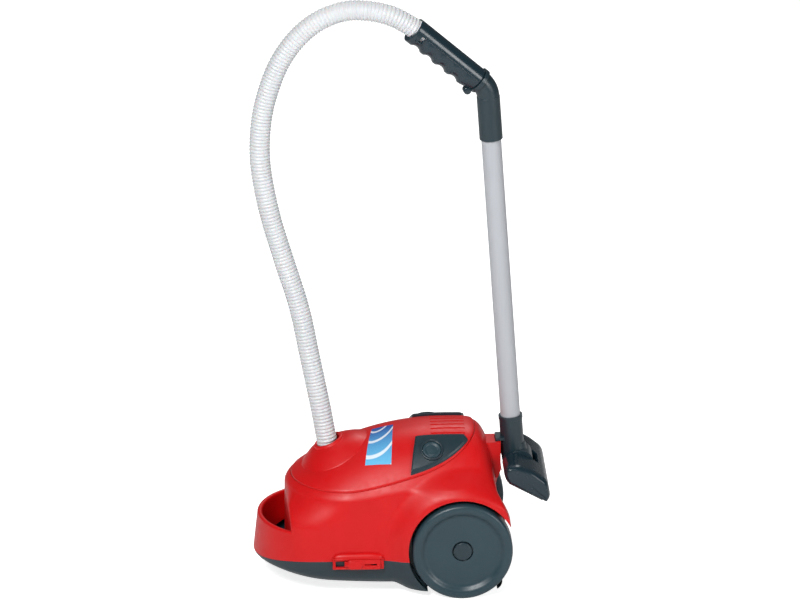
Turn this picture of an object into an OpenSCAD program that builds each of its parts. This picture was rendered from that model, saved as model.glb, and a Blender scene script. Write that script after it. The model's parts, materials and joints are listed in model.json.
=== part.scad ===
// Toy canister vacuum cleaner with its wand parked upright on the rear of the housing.
// Millimetres, +Z up, +X to the rear, -Y is the left side. The origin lies on the floor
// under the middle of the part.

/* [Housing] */
// Distance from the origin forward to the tip of the nose
nose_x = 156; // [152:1:160]
// Distance from the origin back to the foot of the rear wall
rear_x = 108; // [106:0.5:109]
// How far the rear wall leans in from the parting line to the shoulder
rear_lean = 10; // [8:0.5:12]
// Half width of the housing at the parting line
half_w = 81; // [79:0.5:83]
// How much each side leans in from the parting line to the shoulder
side_taper = 8.5; // [7:0.5:10]
// Height of the parting line along the sides
split_z = 41.5; // [39:0.5:44]
// How far the parting line dips at the nose
split_dip = 13.5; // [10:0.5:14]
// Height of the shoulder, where the sides turn into the roof
shoulder_z = 116; // [114:0.5:119]
// Height of the roof's crest
crest_z = 165; // [162:0.5:168]
// Distance of the crest behind the origin
crest_x = 45; // [40:1:50]
// Wall of the mouldings
wall = 2.5; // [2.2:0.1:2.8]

/* [Grab opening] */
// Distance from the origin forward to the wall behind the opening
grab_wall_x = 122.5; // [119:0.5:125]
// Height of that wall's top edge in the middle
grab_wall_z = 107; // [104:0.5:110]
// How far that wall bows back at its corners
grab_wall_bow = 6; // [4:0.5:8]
// How far the nose sets back from the bumper band up to the shoulder
cheek_set = 26; // [24:0.5:28]
// Height of the bumper band's rim
rim_z = 69; // [64:0.5:74]
// Thickness of the bumper band
band_t = 5.5; // [4.5:0.5:6.5]

/* [Tray] */
// Height of the belly under the middle of the tray
belly_z = 14; // [12.5:0.5:16]
// How far the belly rises to the nose
belly_rise = 11; // [9:0.5:12]
// Height of the belly between the rear wheels
skirt_z = 8.5; // [7:0.5:10]

/* [Wheels] */
// Radius of the rear wheels
wheel_r = 53; // [51:0.5:55]
// Width of a rear wheel
wheel_w = 22; // [20:0.5:23]
// Distance of the rear axle behind the origin
wheel_x = 61; // [58:0.5:64]
// How far a wheel's outer face stands out from the half width of the housing
wheel_out = 11; // [9:0.5:13]
// Radius of the axle
axle_r = 3; // [2.5:0.1:3.5]
// Gap between the wheel and its arch
arch_gap = 4; // [3.5:0.5:6]
// How far the lip of a wheel arch lies inside the wheel's outer face
fender_in = 4; // [3:0.5:6]
// Width of the flare that runs round a wheel arch
flare_w = 27; // [24:0.5:29]
// Width of the raised wheel rim
rim_w = 13; // [11:0.5:15]
// Depth of the wheel's recessed face
wheel_dish = 3; // [2:0.5:4]
// Radius of the axle caps
cap_r = 9.8; // [9:0.1:10.5]

/* [Top cover] */
// Distance from the origin back to the rear edge of the lid
lid_rear_x = 78; // [74:0.5:82]
// How far the lid's edge lies inside the shoulder
lid_inset = 5.5; // [4.5:0.5:6.5]
// How far the lid stands proud of the housing
lid_step = 1.5; // [1:0.1:2]
// Half length of the dome round the hose
dome_l = 35; // [32:0.5:38]
// Half width of the dome round the hose
dome_w = 40; // [37:0.5:43]
// Number of vent grooves
vent_count = 7; // [5:2:9]
// Spacing of the vent grooves
vent_pitch = 8.4; // [7:0.1:9]
// Length of the vent grooves
vent_l = 36; // [30:1:38]
// Width of a vent groove
vent_w = 2.4; // [1.6:0.1:3]

/* [Trim and buttons] */
// Height of the trim panels over the lid
trim_t = 4; // [3:0.1:4.5]
// Distance from the middle plane to the upper edge of a trim panel
trim_y = 31; // [29:0.5:33]
// Radius of the push buttons
button_r = 9.6; // [8.5:0.1:10.5]
// Width of the raised ring round a button
button_ring_w = 2.2; // [1.6:0.1:2.6]
// How far a button travels
button_travel = 2; // [1.5:0.1:2.5]

/* [Side latches] */
// Length of the latch track
latch_l = 54; // [52:0.5:56]
// Height of the latch track
latch_h = 12; // [11:0.5:13]
// How far the latch slides
latch_travel = 9; // [7:0.5:10]

/* [Caster] */
// Radius of the front caster wheel
caster_r = 7; // [6.5:0.1:7.5]
// Width of the front caster wheel
caster_w = 9; // [8:0.5:10]
// Trail of the caster wheel behind its swivel
caster_trail = 6; // [5:0.5:7]

/* [Drive and battery] */
// Radius of the motor can
motor_r = 12; // [11:0.5:13]
// Length of the motor can
motor_l = 30; // [26:1:32]
// Radius of the fan
fan_r = 23; // [20:0.5:25]
// Number of fan blades
fan_blades = 8; // [6:1:12]
// Radius of a battery cell
cell_r = 7.1; // [6.9:0.1:7.3]
// Length of a battery cell
cell_l = 49; // [47:0.5:51]

/* [Parking bracket] */
// Half width of the bracket
dock_half_w = 13; // [12:0.5:15]
// Height of the bracket's top
dock_z = 146; // [143:0.5:148]
// Height of the bracket from foot to top
dock_h = 40; // [36:0.5:42]
// Distance from the origin back to the bracket's rear face
dock_x = 105.4; // [104.8:0.1:105.6]
// Thickness of the hook's tongue
hook_t = 2.6; // [2.2:0.1:2.8]

/* [Wand] */
// Lean of the parked wand towards the front, in degrees
wand_tilt = 3.9; // [3.5:0.1:4.3]
// Outer radius of the tube
tube_r = 10.5; // [10:0.1:10.8]
// Wall of the tube
tube_wall = 1.3; // [1:0.1:1.8]
// Height of the lower collar's rim along the wand
collar_top = 50; // [47:0.5:53]
// Start of the handle socket along the wand
socket_start = 362; // [340:1:380]
// Length of the handle socket up to its bend
socket_l = 46.5; // [42:0.5:52]
// Wall of the sockets round the tube
socket_wall = 1.7; // [1.4:0.1:2]

/* [Handle] */
// Bend between the tube and the grip, in degrees
handle_bend = 44; // [42:0.5:46]
// Turn of the handle about the tube, in degrees
handle_turn = 9; // [7:0.5:11]
// Radius of the bend's middle line
bend_r = 26; // [24:0.5:28]
// Length of the grip from its ring to its mouth
grip_l = 91; // [88:0.5:94]
// Outer radius of the grip
grip_r = 12.4; // [12.2:0.1:13]
// Spacing of the finger scallops
scallop_pitch = 17.6; // [16:0.2:18.6]
// Depth of the finger scallops
scallop_depth = 2.2; // [1.6:0.1:2.6]

/* [Floor nozzle] */
// Half width of the floor head
head_half_w = 56; // [52:0.5:60]
// Tilt of the parked head's sole, in degrees
sole_tilt = 29; // [27:0.5:31]
// Radius of the pivot barrel
barrel_r = 13; // [12.6:0.1:13.4]
// Half width of the pivot barrel
barrel_half_w = 14.5; // [13:0.5:16]
// Gap round the barrel in the head
barrel_gap = 4; // [3.6:0.1:4.4]
// Radius of the pivot pin
pivot_pin_r = 2.5; // [2:0.1:3]
// Height of the pivot over the sole
pivot_h = 15.3; // [15:0.1:15.8]

/* [Hose] */
// Outer radius of the hose over its ribs
hose_r = 11; // [10.6:0.1:11.2]
// Depth of the ribs
rib_depth = 1.1; // [0.8:0.1:1.4]
// Radius of the hose's bore
hose_bore_r = 8.4; // [8:0.1:8.8]
// Number of ribs
rib_count = 168; // [120:1:190]

/* [Fits] */
// Running clearance of a shaft in its bore, on the radius
running_fit = 0.05; // [0.03:0.01:0.08]
// Gap between pieces that move past each other
moving_gap = 0.4; // [0.3:0.05:0.5]

/* [Hidden] */
$fn = 64;

red = "#c8161d";
slate = "#26383f";
slate_light = "#33494f";
pale_grey = "#bfc2c7";
white = "#f2f3f4";
steel = "#a9adb2";
brass = "#c2a25a";

// Housing outline: a round nose, then sides that close over a superellipse to the rear
nose_mid = half_w - nose_x;
top_mid = nose_mid + cheek_set;
cheek_from = 0.5;
wall_from = 0.75;
wall_lead = 1;
shoulder_from_x = 15;
shoulder_fall_l = 75;
rear_power = 7;
lid_power = 2.8;
nose_steps = 16;
side_steps = 18;
back_steps = 6;
corner_share = 0.93;
arch_r = wheel_r + arch_gap;
roof_power = 2.1;
roof_side_power = 2.5;
roof_rear_power = 6;
roof_mid = -10;
belly_power = 1.6;
belly_step_x = -13;
belly_step_l = 20;

// Wheel wells of the tray
track_half = half_w + wheel_out;
fender_y = track_half - fender_in;
well_t = 2;
well_gap = 4;
well_y = track_half - wheel_w - well_gap;
well_d = 9;
well_rear_x = wheel_x + 33;

// Wheel and axle places along Y, from the wheel's inner face outwards
cap_depth = 4.5;
hub_end = wheel_w - wheel_dish - cap_depth;
hub_r = 13;
axle_tip = 3;
axle_end = track_half - wheel_w + hub_end + axle_tip;
wheel_rim_r = wheel_r - rim_w;

// Wand frame: the foot of the tube's axis, with the pivot of the head beside it
wand_x = 119.7;
wand_z = 123;
pivot_off = 7.2;
tube_start = 22;
tube_end = socket_start + 28;
collar_r = tube_r + running_fit + socket_wall;
bend_run = bend_r * tan(handle_bend / 2);
bend_at = socket_start + socket_l + bend_run;
ring_at = bend_run + 1;
ring_t = 3;
grip_at = ring_at + ring_t;
grip_reach = grip_at + grip_l;
grip_bore_r = hose_r + 0.35;
hose_seat = 33;
upper_cuff_l = 7;
spigot_r = 9.4;
spigot_l = 12;

// Hose route: points chosen by hand, then the straight run into the grip
hose_free = [
    [-77, 0, 142], [-81, 0, 165], [-85, 0, 188], [-96, 0, 244], [-107, 0, 299], [-123, 0, 353],
    [-138, 0, 407], [-147, 0, 461], [-146, -1, 506], [-138, -3, 544], [-125, -5, 577], [-106, -7, 604],
    [-84, -9, 622], [-58, -11, 632], [-34, -12, 632], [-9, -13, 626]
];
hose_in_grip = [0, 11, hose_seat];
hose_exit_up = 6;

// Buttons
button_x = 30.5;
button_share = 0.6345;
button_y = button_share * (half_w - side_taper);
button_play = 0.3;
button_proud = 0.8;
flange_z = -11.4;
trim_foot_z = flange_z + 1.8;
button_ring_r = button_r + button_play + button_ring_w;
seat_gap = 0.25;
seat_floor_z = -22;
seat_r = 13.4;
seat_bore_r = 11.3;

// Corners of the trim panels along X, at their upper and lower edges
trim_top_from = 14;
trim_top_to = 66;
trim_low_from = 7.5;
trim_low_to = 69;
trim_edge = 1;

// Battery bay
bay_x = -46;
bay_half_l = 29;
cells_x = bay_x - 3;
cell_pitch = 2 * cell_r + 0.4;
cell_room = [1.5 * cell_pitch + 1, cell_l / 2 + 1.5];
door_screw_x = bay_x + bay_half_l - 4.5;
bay_half_w = 29;
bay_rim = 3;
bay_floor_z = belly_z - 1;
door_t = 2;

// Motor
motor_x = 10;
motor_z = 84;
fan_x = motor_x + motor_l + 6;
fan_w = 9;

// Latch track
latch_x = -76;
latch_z = split_z - 1.5;
latch_y0 = half_w + 0.3;
latch_y1 = latch_y0 + 4.2;

// Screws that hold the two shells together
screw_front = [-grab_wall_x + 10, 30];
screw_rear = [rear_x - 10, 30];
lug_z = 46;
lug_h = 12;
lug_half = 6;

function lerp(a, b, t) = a + (b - a) * t;
function ease(t) = let(c = max(0, min(1, t))) c * c * (3 - 2 * c);
function unit(v) = v / norm(v);

// Lean of the walls: 0 at the parting line and below, 1 at the shoulder
function climb(z) = max(0, (z - split_z) / (shoulder_z - split_z));
function side_half(z) = half_w - side_taper * climb(z);
function back_at(z) = rear_x - rear_lean * climb(z);

// Half a plan outline from the nose, round about x = m, to the middle of the rear at x = b
function half_plan(m, h, b, n) = concat(
    [for (q = [0 : nose_steps]) let(a = 90 * q / nose_steps) [m - h * cos(a), h * sin(a)]],
    [for (q = [1 : side_steps]) let(f = corner_share * q / side_steps)
        [lerp(m, b, f), h * pow(1 - pow(f, n), 1 / n)]],
    [for (q = [1 : back_steps]) let(y = (1 - q / back_steps) * pow(1 - pow(corner_share, n), 1 / n))
        [lerp(m, b, pow(1 - pow(y, n), 1 / n)), h * y]]);

// Half width of such an outline at x
function plan_half(x, m, h, b, n) = x < m
    ? sqrt(max(0, h * h - pow(x - m, 2)))
    : h * pow(max(0, 1 - pow((x - m) / (b - m), n)), 1 / n);

// A full ring from half of it, mirrored in the middle plane
function ring_of(half) = concat(
    [for (p = half) [p.x, -p.y, p.z]],
    [for (k = [len(half) - 2 : -1 : 1]) half[k]]);

// Heights of the parting line, the shoulder and the belly along X
function split_at(x) = split_z - split_dip * pow(max(0, (nose_mid - x) / half_w), 2);
function shoulder_at(x) =
    lerp(shoulder_z, grab_wall_z, ease((shoulder_from_x - x) / shoulder_fall_l));
function belly_at(x) = x < belly_step_x
    ? belly_z + belly_rise * pow((belly_step_x - x) / (nose_x + belly_step_x), belly_power)
    : lerp(belly_z, skirt_z, ease((x - belly_step_x) / belly_step_l));

// Height of the roof on the middle plane, and anywhere on it
function crest_at(x) = x < crest_x
    ? crest_z - (crest_z - grab_wall_z) * pow((crest_x - x) / (crest_x + grab_wall_x), roof_power)
    : shoulder_z + (crest_z - shoulder_z)
        * (1 - pow(min(1, (x - crest_x) / (back_at(shoulder_z) - crest_x)), roof_rear_power));
function roof_at(x, y) =
    let(s = shoulder_at(x), w = plan_half(x, top_mid, side_half(shoulder_z), back_at(shoulder_z), rear_power))
    s + (crest_at(x) - s) * max(0, 1 - pow(abs(y) / max(w, 0.01), roof_side_power));

// The middle of the nose sets back above the bumper band
function level_mid(k) = lerp(nose_mid, top_mid, ease((k - cheek_from) / (1 - cheek_from)));

// The wall behind the grab opening bows back towards its corners and rounds into the nose at its top
function grab_wall_at(y, k) =
    let(low = -grab_wall_x + grab_wall_bow * pow(y / half_w, 2),
        top = top_mid - sqrt(max(0, pow(side_half(shoulder_z), 2) - y * y)) - wall_lead)
    lerp(low, top, ease((k - wall_from) / (1 - wall_from)));

// Wheel arches swell out of the sides
function flared(x, y, z, g) =
    let(d = norm([x - wheel_x, z - wheel_r]),
        round_arch = ease(1 - (d - arch_r) / flare_w),
        on_side = ease((y / half_w - 0.45) / 0.4))
    y + max(0, fender_y + g - y) * round_arch * on_side;

// Rings of the housing: k climbs from the parting line to the shoulder, g grows it outwards
function side_ring(k, g) =
    let(level = lerp(split_z, shoulder_z, k))
    ring_of([for (p = half_plan(level_mid(k), side_half(level) + g, back_at(level) + g, rear_power))
        let(x = max(p.x, grab_wall_at(p.y, k) - g), z = lerp(split_at(x), shoulder_at(x), k))
        [x, flared(x, p.y, z, g), z]]);

// Half plan of the lid's edge
function lid_half() = half_plan(top_mid, side_half(shoulder_z) - lid_inset, lid_rear_x, lid_power);
function lid_edge_half(x) = plan_half(x, top_mid, side_half(shoulder_z) - lid_inset, lid_rear_x, lid_power);

// Rings between the shoulder and the lid's edge, and over the lid to its middle
function shoulder_ring(t, g) =
    let(outer = half_plan(top_mid, side_half(shoulder_z) + g, back_at(shoulder_z) + g, rear_power),
        lid = lid_half())
    ring_of([for (k = [0 : len(lid) - 1])
        let(p = lerp(outer[k], lid[k], t), z = roof_at(p.x, p.y) + g)
        [p.x, flared(p.x, p.y, z, g), z]]);
function lid_ring(r, g) = ring_of([for (p = lid_half())
    let(x = lerp(roof_mid, p.x, r), y = p.y * r) [x, y, roof_at(x, y) + g]]);

// Rings of the tray: s goes from the parting line down to the belly
function tray_inset(s) = 8 * pow(s, 5) + s;
function tray_ring(s, g) = ring_of([for (p = half_plan(nose_mid, half_w - tray_inset(s) + g,
        back_at(split_z) - tray_inset(s) + g, rear_power))
    let(z = lerp(split_at(p.x), belly_at(p.x) - g, s)) [p.x, flared(p.x, p.y, z, g), z]]);

// Wand frame as numbers, for the hose
function on_tilt(p) = [
    wand_x + p.x * cos(wand_tilt) - p.z * sin(wand_tilt), p.y,
    wand_z + p.x * sin(wand_tilt) + p.z * cos(wand_tilt)
];
function grip_point(l) = on_tilt([
    -l * sin(handle_bend) * cos(handle_turn), -l * sin(handle_bend) * sin(handle_turn),
    bend_at + l * cos(handle_bend)
]);

// Smooth curve through the points p, with s counting points
function spline(p, s) =
    let(k = min(floor(s), len(p) - 2), t = s - k, p0 = p[max(k - 1, 0)], p1 = p[k], p2 = p[k + 1],
        p3 = p[min(k + 2, len(p) - 1)])
    0.5 * (2 * p1 + (p2 - p0) * t + (2 * p0 - 5 * p1 + 4 * p2 - p3) * t * t
        + (3 * p1 - p0 - 3 * p2 + p3) * t * t * t);

hose_route = concat(hose_free, [for (s = hose_in_grip) grip_point(grip_reach - s)]);
hose_axis = unit(hose_route[1] - hose_route[0]);
hose_lean = atan2(-hose_axis.x, hose_axis.z);
hose_samples = 16;
hose_line = [for (k = [0 : hose_samples * (len(hose_route) - 1)]) spline(hose_route, k / hose_samples)];

// Length along the curve up to each sample
function running_length(p, k = 0, sum = 0, out = []) = k == len(p)
    ? out
    : let(total = sum + (k == 0 ? 0 : norm(p[k] - p[k - 1])))
        running_length(p, k + 1, total, concat(out, [[total, k / hose_samples]]));
hose_table = running_length(hose_line);
hose_l = hose_table[len(hose_table) - 1][0];
hose_step = 0.02;

// A ring of n points round the hose at a length along it
function hose_ring(along, r, n) =
    let(s = lookup(along, hose_table), last = len(hose_route) - 1,
        ahead = unit(spline(hose_route, min(last, s + hose_step)) - spline(hose_route, max(0, s - hose_step))),
        across = unit(cross([0, 1, 0], ahead)), up = cross(ahead, across), at = spline(hose_route, s))
    [for (i = [0 : n - 1]) at + r * (cos(360 * i / n) * across + sin(360 * i / n) * up)];

// Solid through a row of rings: closed round for a tube, or with a point at each end, or
// with end faces in strips across the middle plane
module loft(rings, ends = [], strips = false) {
    n = len(rings[0]);
    m = len(rings);
    shut = len(ends) == 0 && !strips;
    top = (m - 1) * n;
    points = concat([for (r = rings) each r], ends);
    sides = [for (k = [0 : m - (shut ? 1 : 2)], i = [0 : n - 1])
        let(a = k * n + i, b = k * n + (i + 1) % n, c = ((k + 1) % m) * n + i, d = ((k + 1) % m) * n + (i + 1) % n)
        each [[a, c, d], [a, d, b]]];
    fans = [for (i = [0 : n - 1]) each [[m * n, i, (i + 1) % n], [m * n + 1, top + (i + 1) % n, top + i]]];
    bands = [for (k = [0 : n / 2 - 1], f = [[k, k + 1, n - k - 1], [k, n - k - 1, (n - k) % n]])
        if (f[0] != f[2] && f[1] != f[2]) each [f, [top + f[0], top + f[2], top + f[1]]]];
    polyhedron(points, concat(sides, shut ? [] : strips ? bands : fans), convexity = 10);
}

// Frames
module both_sides() {
    for (side = [-1, 1]) scale_y(side) children();
}
module scale_y(side) {
    mirror([0, side < 0 ? 1 : 0, 0]) children();
}
// A wheel's frame on the right: z from its inner face outwards
module on_axle(side) {
    translate([wheel_x, side * (track_half - wheel_w), wheel_r]) rotate([-side * 90, 0, 0]) children();
}
module along_y(y0, y1, r) {
    translate([0, y0, 0]) rotate([-90, 0, 0]) cylinder(h = y1 - y0, r = r);
}
module block(lo, hi) {
    translate(lo) cube(hi - lo);
}
module on_wand() {
    translate([wand_x, 0, wand_z]) rotate([0, -wand_tilt, 0]) children();
}
module on_grip() {
    on_wand() translate([0, 0, bend_at]) rotate([0, 0, handle_turn]) rotate([0, -handle_bend, 0]) children();
}
module on_head() {
    on_wand() translate([pivot_off, 0, 0]) rotate([0, sole_tilt + wand_tilt, 0]) children();
}
module on_hose() {
    translate(hose_route[0]) rotate([0, -hose_lean, 0]) children();
}
// A button's frame: z out of the trim panel's face
button_slope = atan(roof_at(button_x, button_y - 1) / 2 - roof_at(button_x, button_y + 1) / 2);
module on_button(side) {
    translate([button_x, side * button_y, roof_at(button_x, button_y) + lid_step])
        rotate([-side * button_slope, 0, 0]) translate([0, 0, trim_t]) children();
}

// Room for a rear wheel
module arch_cut(from_y, r = arch_r) {
    both_sides() translate([wheel_x, 0, wheel_r]) along_y(from_y, track_half + 20, r);
}

// The tray's cup, open at the top
module tray_cup() {
    outer = [for (s = [1, 0.95, 0.85, 0.65, 0.35, 0]) tray_ring(s, 0)];
    inner = [for (s = [0, 0.5, 0.8, 1]) tray_ring(s, -wall)];
    loft(concat(outer, inner), strips = true);
}

// Wheel well: a disc beside the wheel with a ring over it
module wheel_wells() {
    difference() {
        both_sides() intersection() {
            translate([wheel_x, 0, wheel_r]) along_y(well_y, well_y + well_d, arch_r + well_t);
            block([wheel_x - arch_r - well_t, well_y - 1, skirt_z + 0.6],
                [well_rear_x, track_half, 2 * arch_r + wheel_r]);
        }
        arch_cut(well_y + well_t);
    }
    both_sides() translate([wheel_x, 0, wheel_r])
        along_y(well_y - 7, track_half - wheel_w - moving_gap, axle_r + 4);
}

// Posts, ribs and pads that stand on the tray's floor
module tray_fittings() {
    post_r = 4.5;
    rib_x = -grab_wall_x + 10;
    rib_half = half_w * 0.72;
    boss_x = -nose_x + 17;
    block([bay_x - bay_half_l - bay_rim, -bay_half_w - bay_rim, bay_floor_z],
        [bay_x + bay_half_l + bay_rim, bay_half_w + bay_rim, belly_z + 7]);
    block([rib_x - 1, -rib_half, belly_at(rib_x) + 1], [rib_x + 1, rib_half, split_at(-grab_wall_x) - 1]);
    for (p = [screw_front, screw_rear], side = [-1, 1])
        translate([p.x, side * p.y, belly_at(p.x) + 1]) cylinder(h = lug_z - 1 - belly_at(p.x), r = post_r);
    translate([caster_pos.x, 0, caster_top]) cylinder(h = 14, r = 8);
    for (side = [-1, 1]) translate([boss_x, side * 14, belly_at(boss_x) + 1]) cylinder(h = 12, r1 = 5, r2 = 4);
}

module lower_tray() {
    color(slate) difference() {
        union() {
            difference() {
                tray_cup();
                arch_cut(well_y + well_t / 2, arch_r + well_t / 2);
            }
            union() {
                wheel_wells();
                tray_fittings();
            }
        }
        translate([wheel_x, 0, wheel_r]) along_y(-track_half, track_half, axle_r + running_fit);
        block([bay_x - bay_half_l, -bay_half_w, bay_floor_z - 1],
            [bay_x + bay_half_l, bay_half_w, bay_floor_z + door_t]);
        block([cells_x - cell_room.x, -cell_room.y, bay_floor_z],
            [cells_x + cell_room.x, cell_room.y, belly_z + 20]);
        translate([door_screw_x, 0, bay_floor_z]) cylinder(h = 10, r = screw_r);
        for (p = [screw_front, screw_rear], side = [-1, 1]) translate([p.x, side * p.y, 0]) {
            cylinder(h = lug_z + 1, r = screw_r + 0.2);
            cylinder(h = belly_at(p.x) + 5, r = screw_head_r + 0.4);
        }
        translate([caster_pos.x, 0, 0]) cylinder(h = caster_top + 12, r = caster_pin_r + running_fit);
    }
}

// The bumper band is a revolve about the middle of the nose, cut along the parting line
module bumper_band() {
    inside = 0.8;
    reach = 60;
    r0 = half_w - inside;
    r1 = side_half(rim_z) - inside;
    round_r = band_t / 2;
    foot = split_z - split_dip - 2;
    profile = concat([[r0 - band_t, foot], [r0, foot], [r0, split_z]],
        [for (a = [0 : 22.5 : 180]) [r1 - round_r + round_r * cos(a), rim_z - round_r + round_r * sin(a)]],
        [[r0 - band_t, split_z]]);
    steps = 12;
    difference() {
        translate([nose_mid, 0, 0]) rotate([0, 0, 180 - reach])
            rotate_extrude(angle = 2 * reach) polygon(profile);
        translate([0, half_w + 1, 0]) rotate([90, 0, 0]) linear_extrude(2 * half_w + 2)
            polygon(concat([[nose_mid, 0], [-nose_x - 2, 0]],
                [for (k = [0 : steps]) let(x = lerp(-nose_x - 2, nose_mid, k / steps))
                    [x, split_at(x) + 0.35]]));
    }
}

// Track of a side latch: a T-shaped slot in a ledge that hangs over the tray
module latch_track() {
    z0 = latch_z - latch_h / 2;
    z1 = latch_z + latch_h / 2;
    difference() {
        union() {
            block([latch_x, latch_y0, z0], [latch_x + latch_l, latch_y1, z1]);
            block([latch_x + 1, half_w - wall / 2 - 0.5, split_z + 1.5],
                [latch_x + latch_l - 1, latch_y0 + 1, z1]);
            translate([latch_x + 0.5, latch_y0, z1 - 0.2]) rotate([0, 90, 0])
                cylinder(h = latch_l - 1, r = latch_y1 - latch_y0 - 0.2);
        }
        translate([latch_x + latch_end, 0, 0]) latch_t(latch_run, moving_gap);
    }
}
latch_end = 3;
latch_run = latch_l - 16;
latch_body = latch_run - latch_travel;
// T section of the slider's foot, l long, grown by a gap
module latch_t(l, gap) {
    block([0, latch_y0 + 1.3 - gap, latch_z - latch_h / 2 + 1.8 - gap],
        [l, latch_y0 + 2.3 + gap, latch_z + latch_h / 2 - 1.8 + gap]);
    block([0, latch_y0 + 1.8, latch_z - 2.2 - gap], [l, latch_y1 + 1, latch_z + 2.2 + gap]);
}

module upper_shell() {
    outer = concat([for (k = [0, 0.12, 0.27, 0.42, 0.57, 0.7, 0.82, 0.92, 1]) side_ring(k, 0)],
        [for (t = [0.2, 0.5, 1]) shoulder_ring(t, 0)]);
    inner = concat([for (t = [1, 0.4]) shoulder_ring(t, -wall)],
        [for (k = [1, 0.85, 0.65, 0.4, 0.2, 0]) side_ring(k, -wall)]);
    color(red) difference() {
        union() {
            loft(concat(outer, inner));
            bumper_band();
            both_sides() latch_track();
            for (side = [-1, 1]) {
                translate([0, side * screw_front.y - lug_half, lug_z])
                    block([-grab_wall_x + 1.2, 0, 0], [-grab_wall_x + 15, 2 * lug_half, lug_h]);
                translate([0, side * screw_rear.y - lug_half, lug_z])
                    block([screw_rear.x - 5, 0, 0], [rear_x - 2.8, 2 * lug_half, lug_h]);
            }
        }
        arch_cut(well_y - moving_gap);
        both_sides() translate([wheel_x, 0, wheel_r])
            along_y(well_y - moving_gap, well_y + well_d + moving_gap, arch_r + well_t + moving_gap);
        for (p = [screw_front, screw_rear], side = [-1, 1])
            translate([p.x, side * p.y, lug_z - 1]) cylinder(h = lug_h - 2, r = screw_r);
    }
}

// The lid as a shell of one wall, with its edge stepped over the housing
module lid_shell() {
    inner = [for (r = [0.25, 0.6, 0.88, 1]) lid_ring(r, -wall)];
    outer = concat([lid_ring(1, 0)],
        [for (r = [1, 0.96, 0.9, 0.8, 0.66, 0.5, 0.33, 0.16]) lid_ring(r, lid_step)]);
    middle = roof_at(roof_mid, 0);
    loft(concat(inner, outer), [[roof_mid, 0, middle - wall], [roof_mid, 0, middle + lid_step]]);
}

// Dome that seats on the lid and closes in on the ring round the hose
module hose_collar() {
    n = 40;
    top_r = hose_r + 4.5;
    ring_r = hose_r + 2.5;
    bead_r = 1.7;
    at = hose_route[0].x + 7;
    exit = hose_route[0] + hose_exit_up * hose_axis;
    across = [cos(hose_lean), 0, sin(hose_lean)];
    function foot(r, g) = [for (i = [0 : n - 1])
        let(x = at + r * dome_l * cos(360 * i / n), y = r * dome_w * sin(360 * i / n))
        [x, y, roof_at(x, y) + lid_step + seat_gap + g]];
    rim = [for (i = [0 : n - 1]) exit + top_r * (cos(360 * i / n) * across + sin(360 * i / n) * [0, 1, 0])];
    edge = foot(1, 0.8);
    middle = [for (i = [0 : n - 1]) lerp(edge[i], rim[i], 0.55) + [0, 0, 2.2]];
    color(red) difference() {
        union() {
            loft([foot(0.3, 0), foot(0.6, 0), foot(0.85, 0), foot(1, 0), edge, middle, rim],
                [[at, 0, roof_at(at, 0) + lid_step + seat_gap], exit]);
            on_hose() translate([0, 0, hose_exit_up]) rotate_extrude() translate([ring_r, 0]) circle(r = bead_r);
        }
        hose_bore();
    }
}
module hose_bore() {
    on_hose() translate([0, 0, -40]) cylinder(h = 80, r = hose_r + 0.6);
}

module top_cover() {
    vent_x = 31;
    vent_depth = 1.3;
    color(red) difference() {
        union() {
            lid_shell();
            for (side = [-1, 1]) on_button(side)
                translate([0, 0, seat_floor_z - 2]) cylinder(h = 2 - seat_floor_z - trim_t - 2.2, r = seat_r);
        }
        hose_bore();
        for (side = [-1, 1]) on_button(side) {
            translate([0, 0, trim_foot_z]) cylinder(h = 30, r = button_ring_r);
            translate([0, 0, seat_floor_z]) cylinder(h = trim_foot_z + 1 - seat_floor_z, r = seat_bore_r);
            translate([0, 0, seat_floor_z - 5]) cylinder(h = 10, r = 2.2);
        }
        for (k = [0 : vent_count - 1]) {
            y = (k - (vent_count - 1) / 2) * vent_pitch;
            z = roof_at(crest_x, y) + lid_step - vent_depth;
            block([vent_x, y - vent_w / 2, z], [vent_x + vent_l, y + vent_w / 2, z + 8]);
        }
    }
}

// Trim panel as a patch of the roof between the lid's edge and the upper edge
module trim_patch(side) {
    columns = 14;
    rows = 5;
    function place(u, v) =
        let(top = [lerp(trim_top_from, trim_top_to, u), trim_y],
            x = lerp(trim_low_from, trim_low_to, sin(90 * u)), low = [x, lid_edge_half(x) - trim_edge])
        lerp(top, low, v);
    function layer(g) = [for (c = [0 : columns], r = [0 : rows])
        let(p = place(c / columns, r / rows)) [p.x, side * p.y, roof_at(p.x, p.y) + g]];
    n = rows + 1;
    count = n * (columns + 1);
    function at(c, r, top) = c * n + r + (top ? count : 0);
    sheets = [for (c = [0 : columns - 1], r = [0 : rows - 1], top = [true, false])
        let(a = at(c, r, top), b = at(c + 1, r, top), d = at(c + 1, r + 1, top), e = at(c, r + 1, top))
        each top ? [[a, d, b], [a, e, d]] : [[a, b, d], [a, d, e]]];
    border = concat([for (c = [0 : columns]) [c, 0]], [for (r = [1 : rows]) [columns, r]],
        [for (c = [columns - 1 : -1 : 0]) [c, rows]], [for (r = [rows - 1 : -1 : 1]) [0, r]]);
    walls = [for (k = [0 : len(border) - 1])
        let(p = border[k], q = border[(k + 1) % len(border)],
            a = at(p[0], p[1], false), b = at(q[0], q[1], false), c = at(p[0], p[1], true), d = at(q[0], q[1], true))
        each [[a, d, b], [a, c, d]]];
    faces = concat(sheets, walls);
    turned = side < 0 ? [for (f = faces) [f[0], f[2], f[1]]] : faces;
    polyhedron(concat(layer(lid_step + seat_gap), layer(lid_step + trim_t)), turned, convexity = 6);
}

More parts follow.
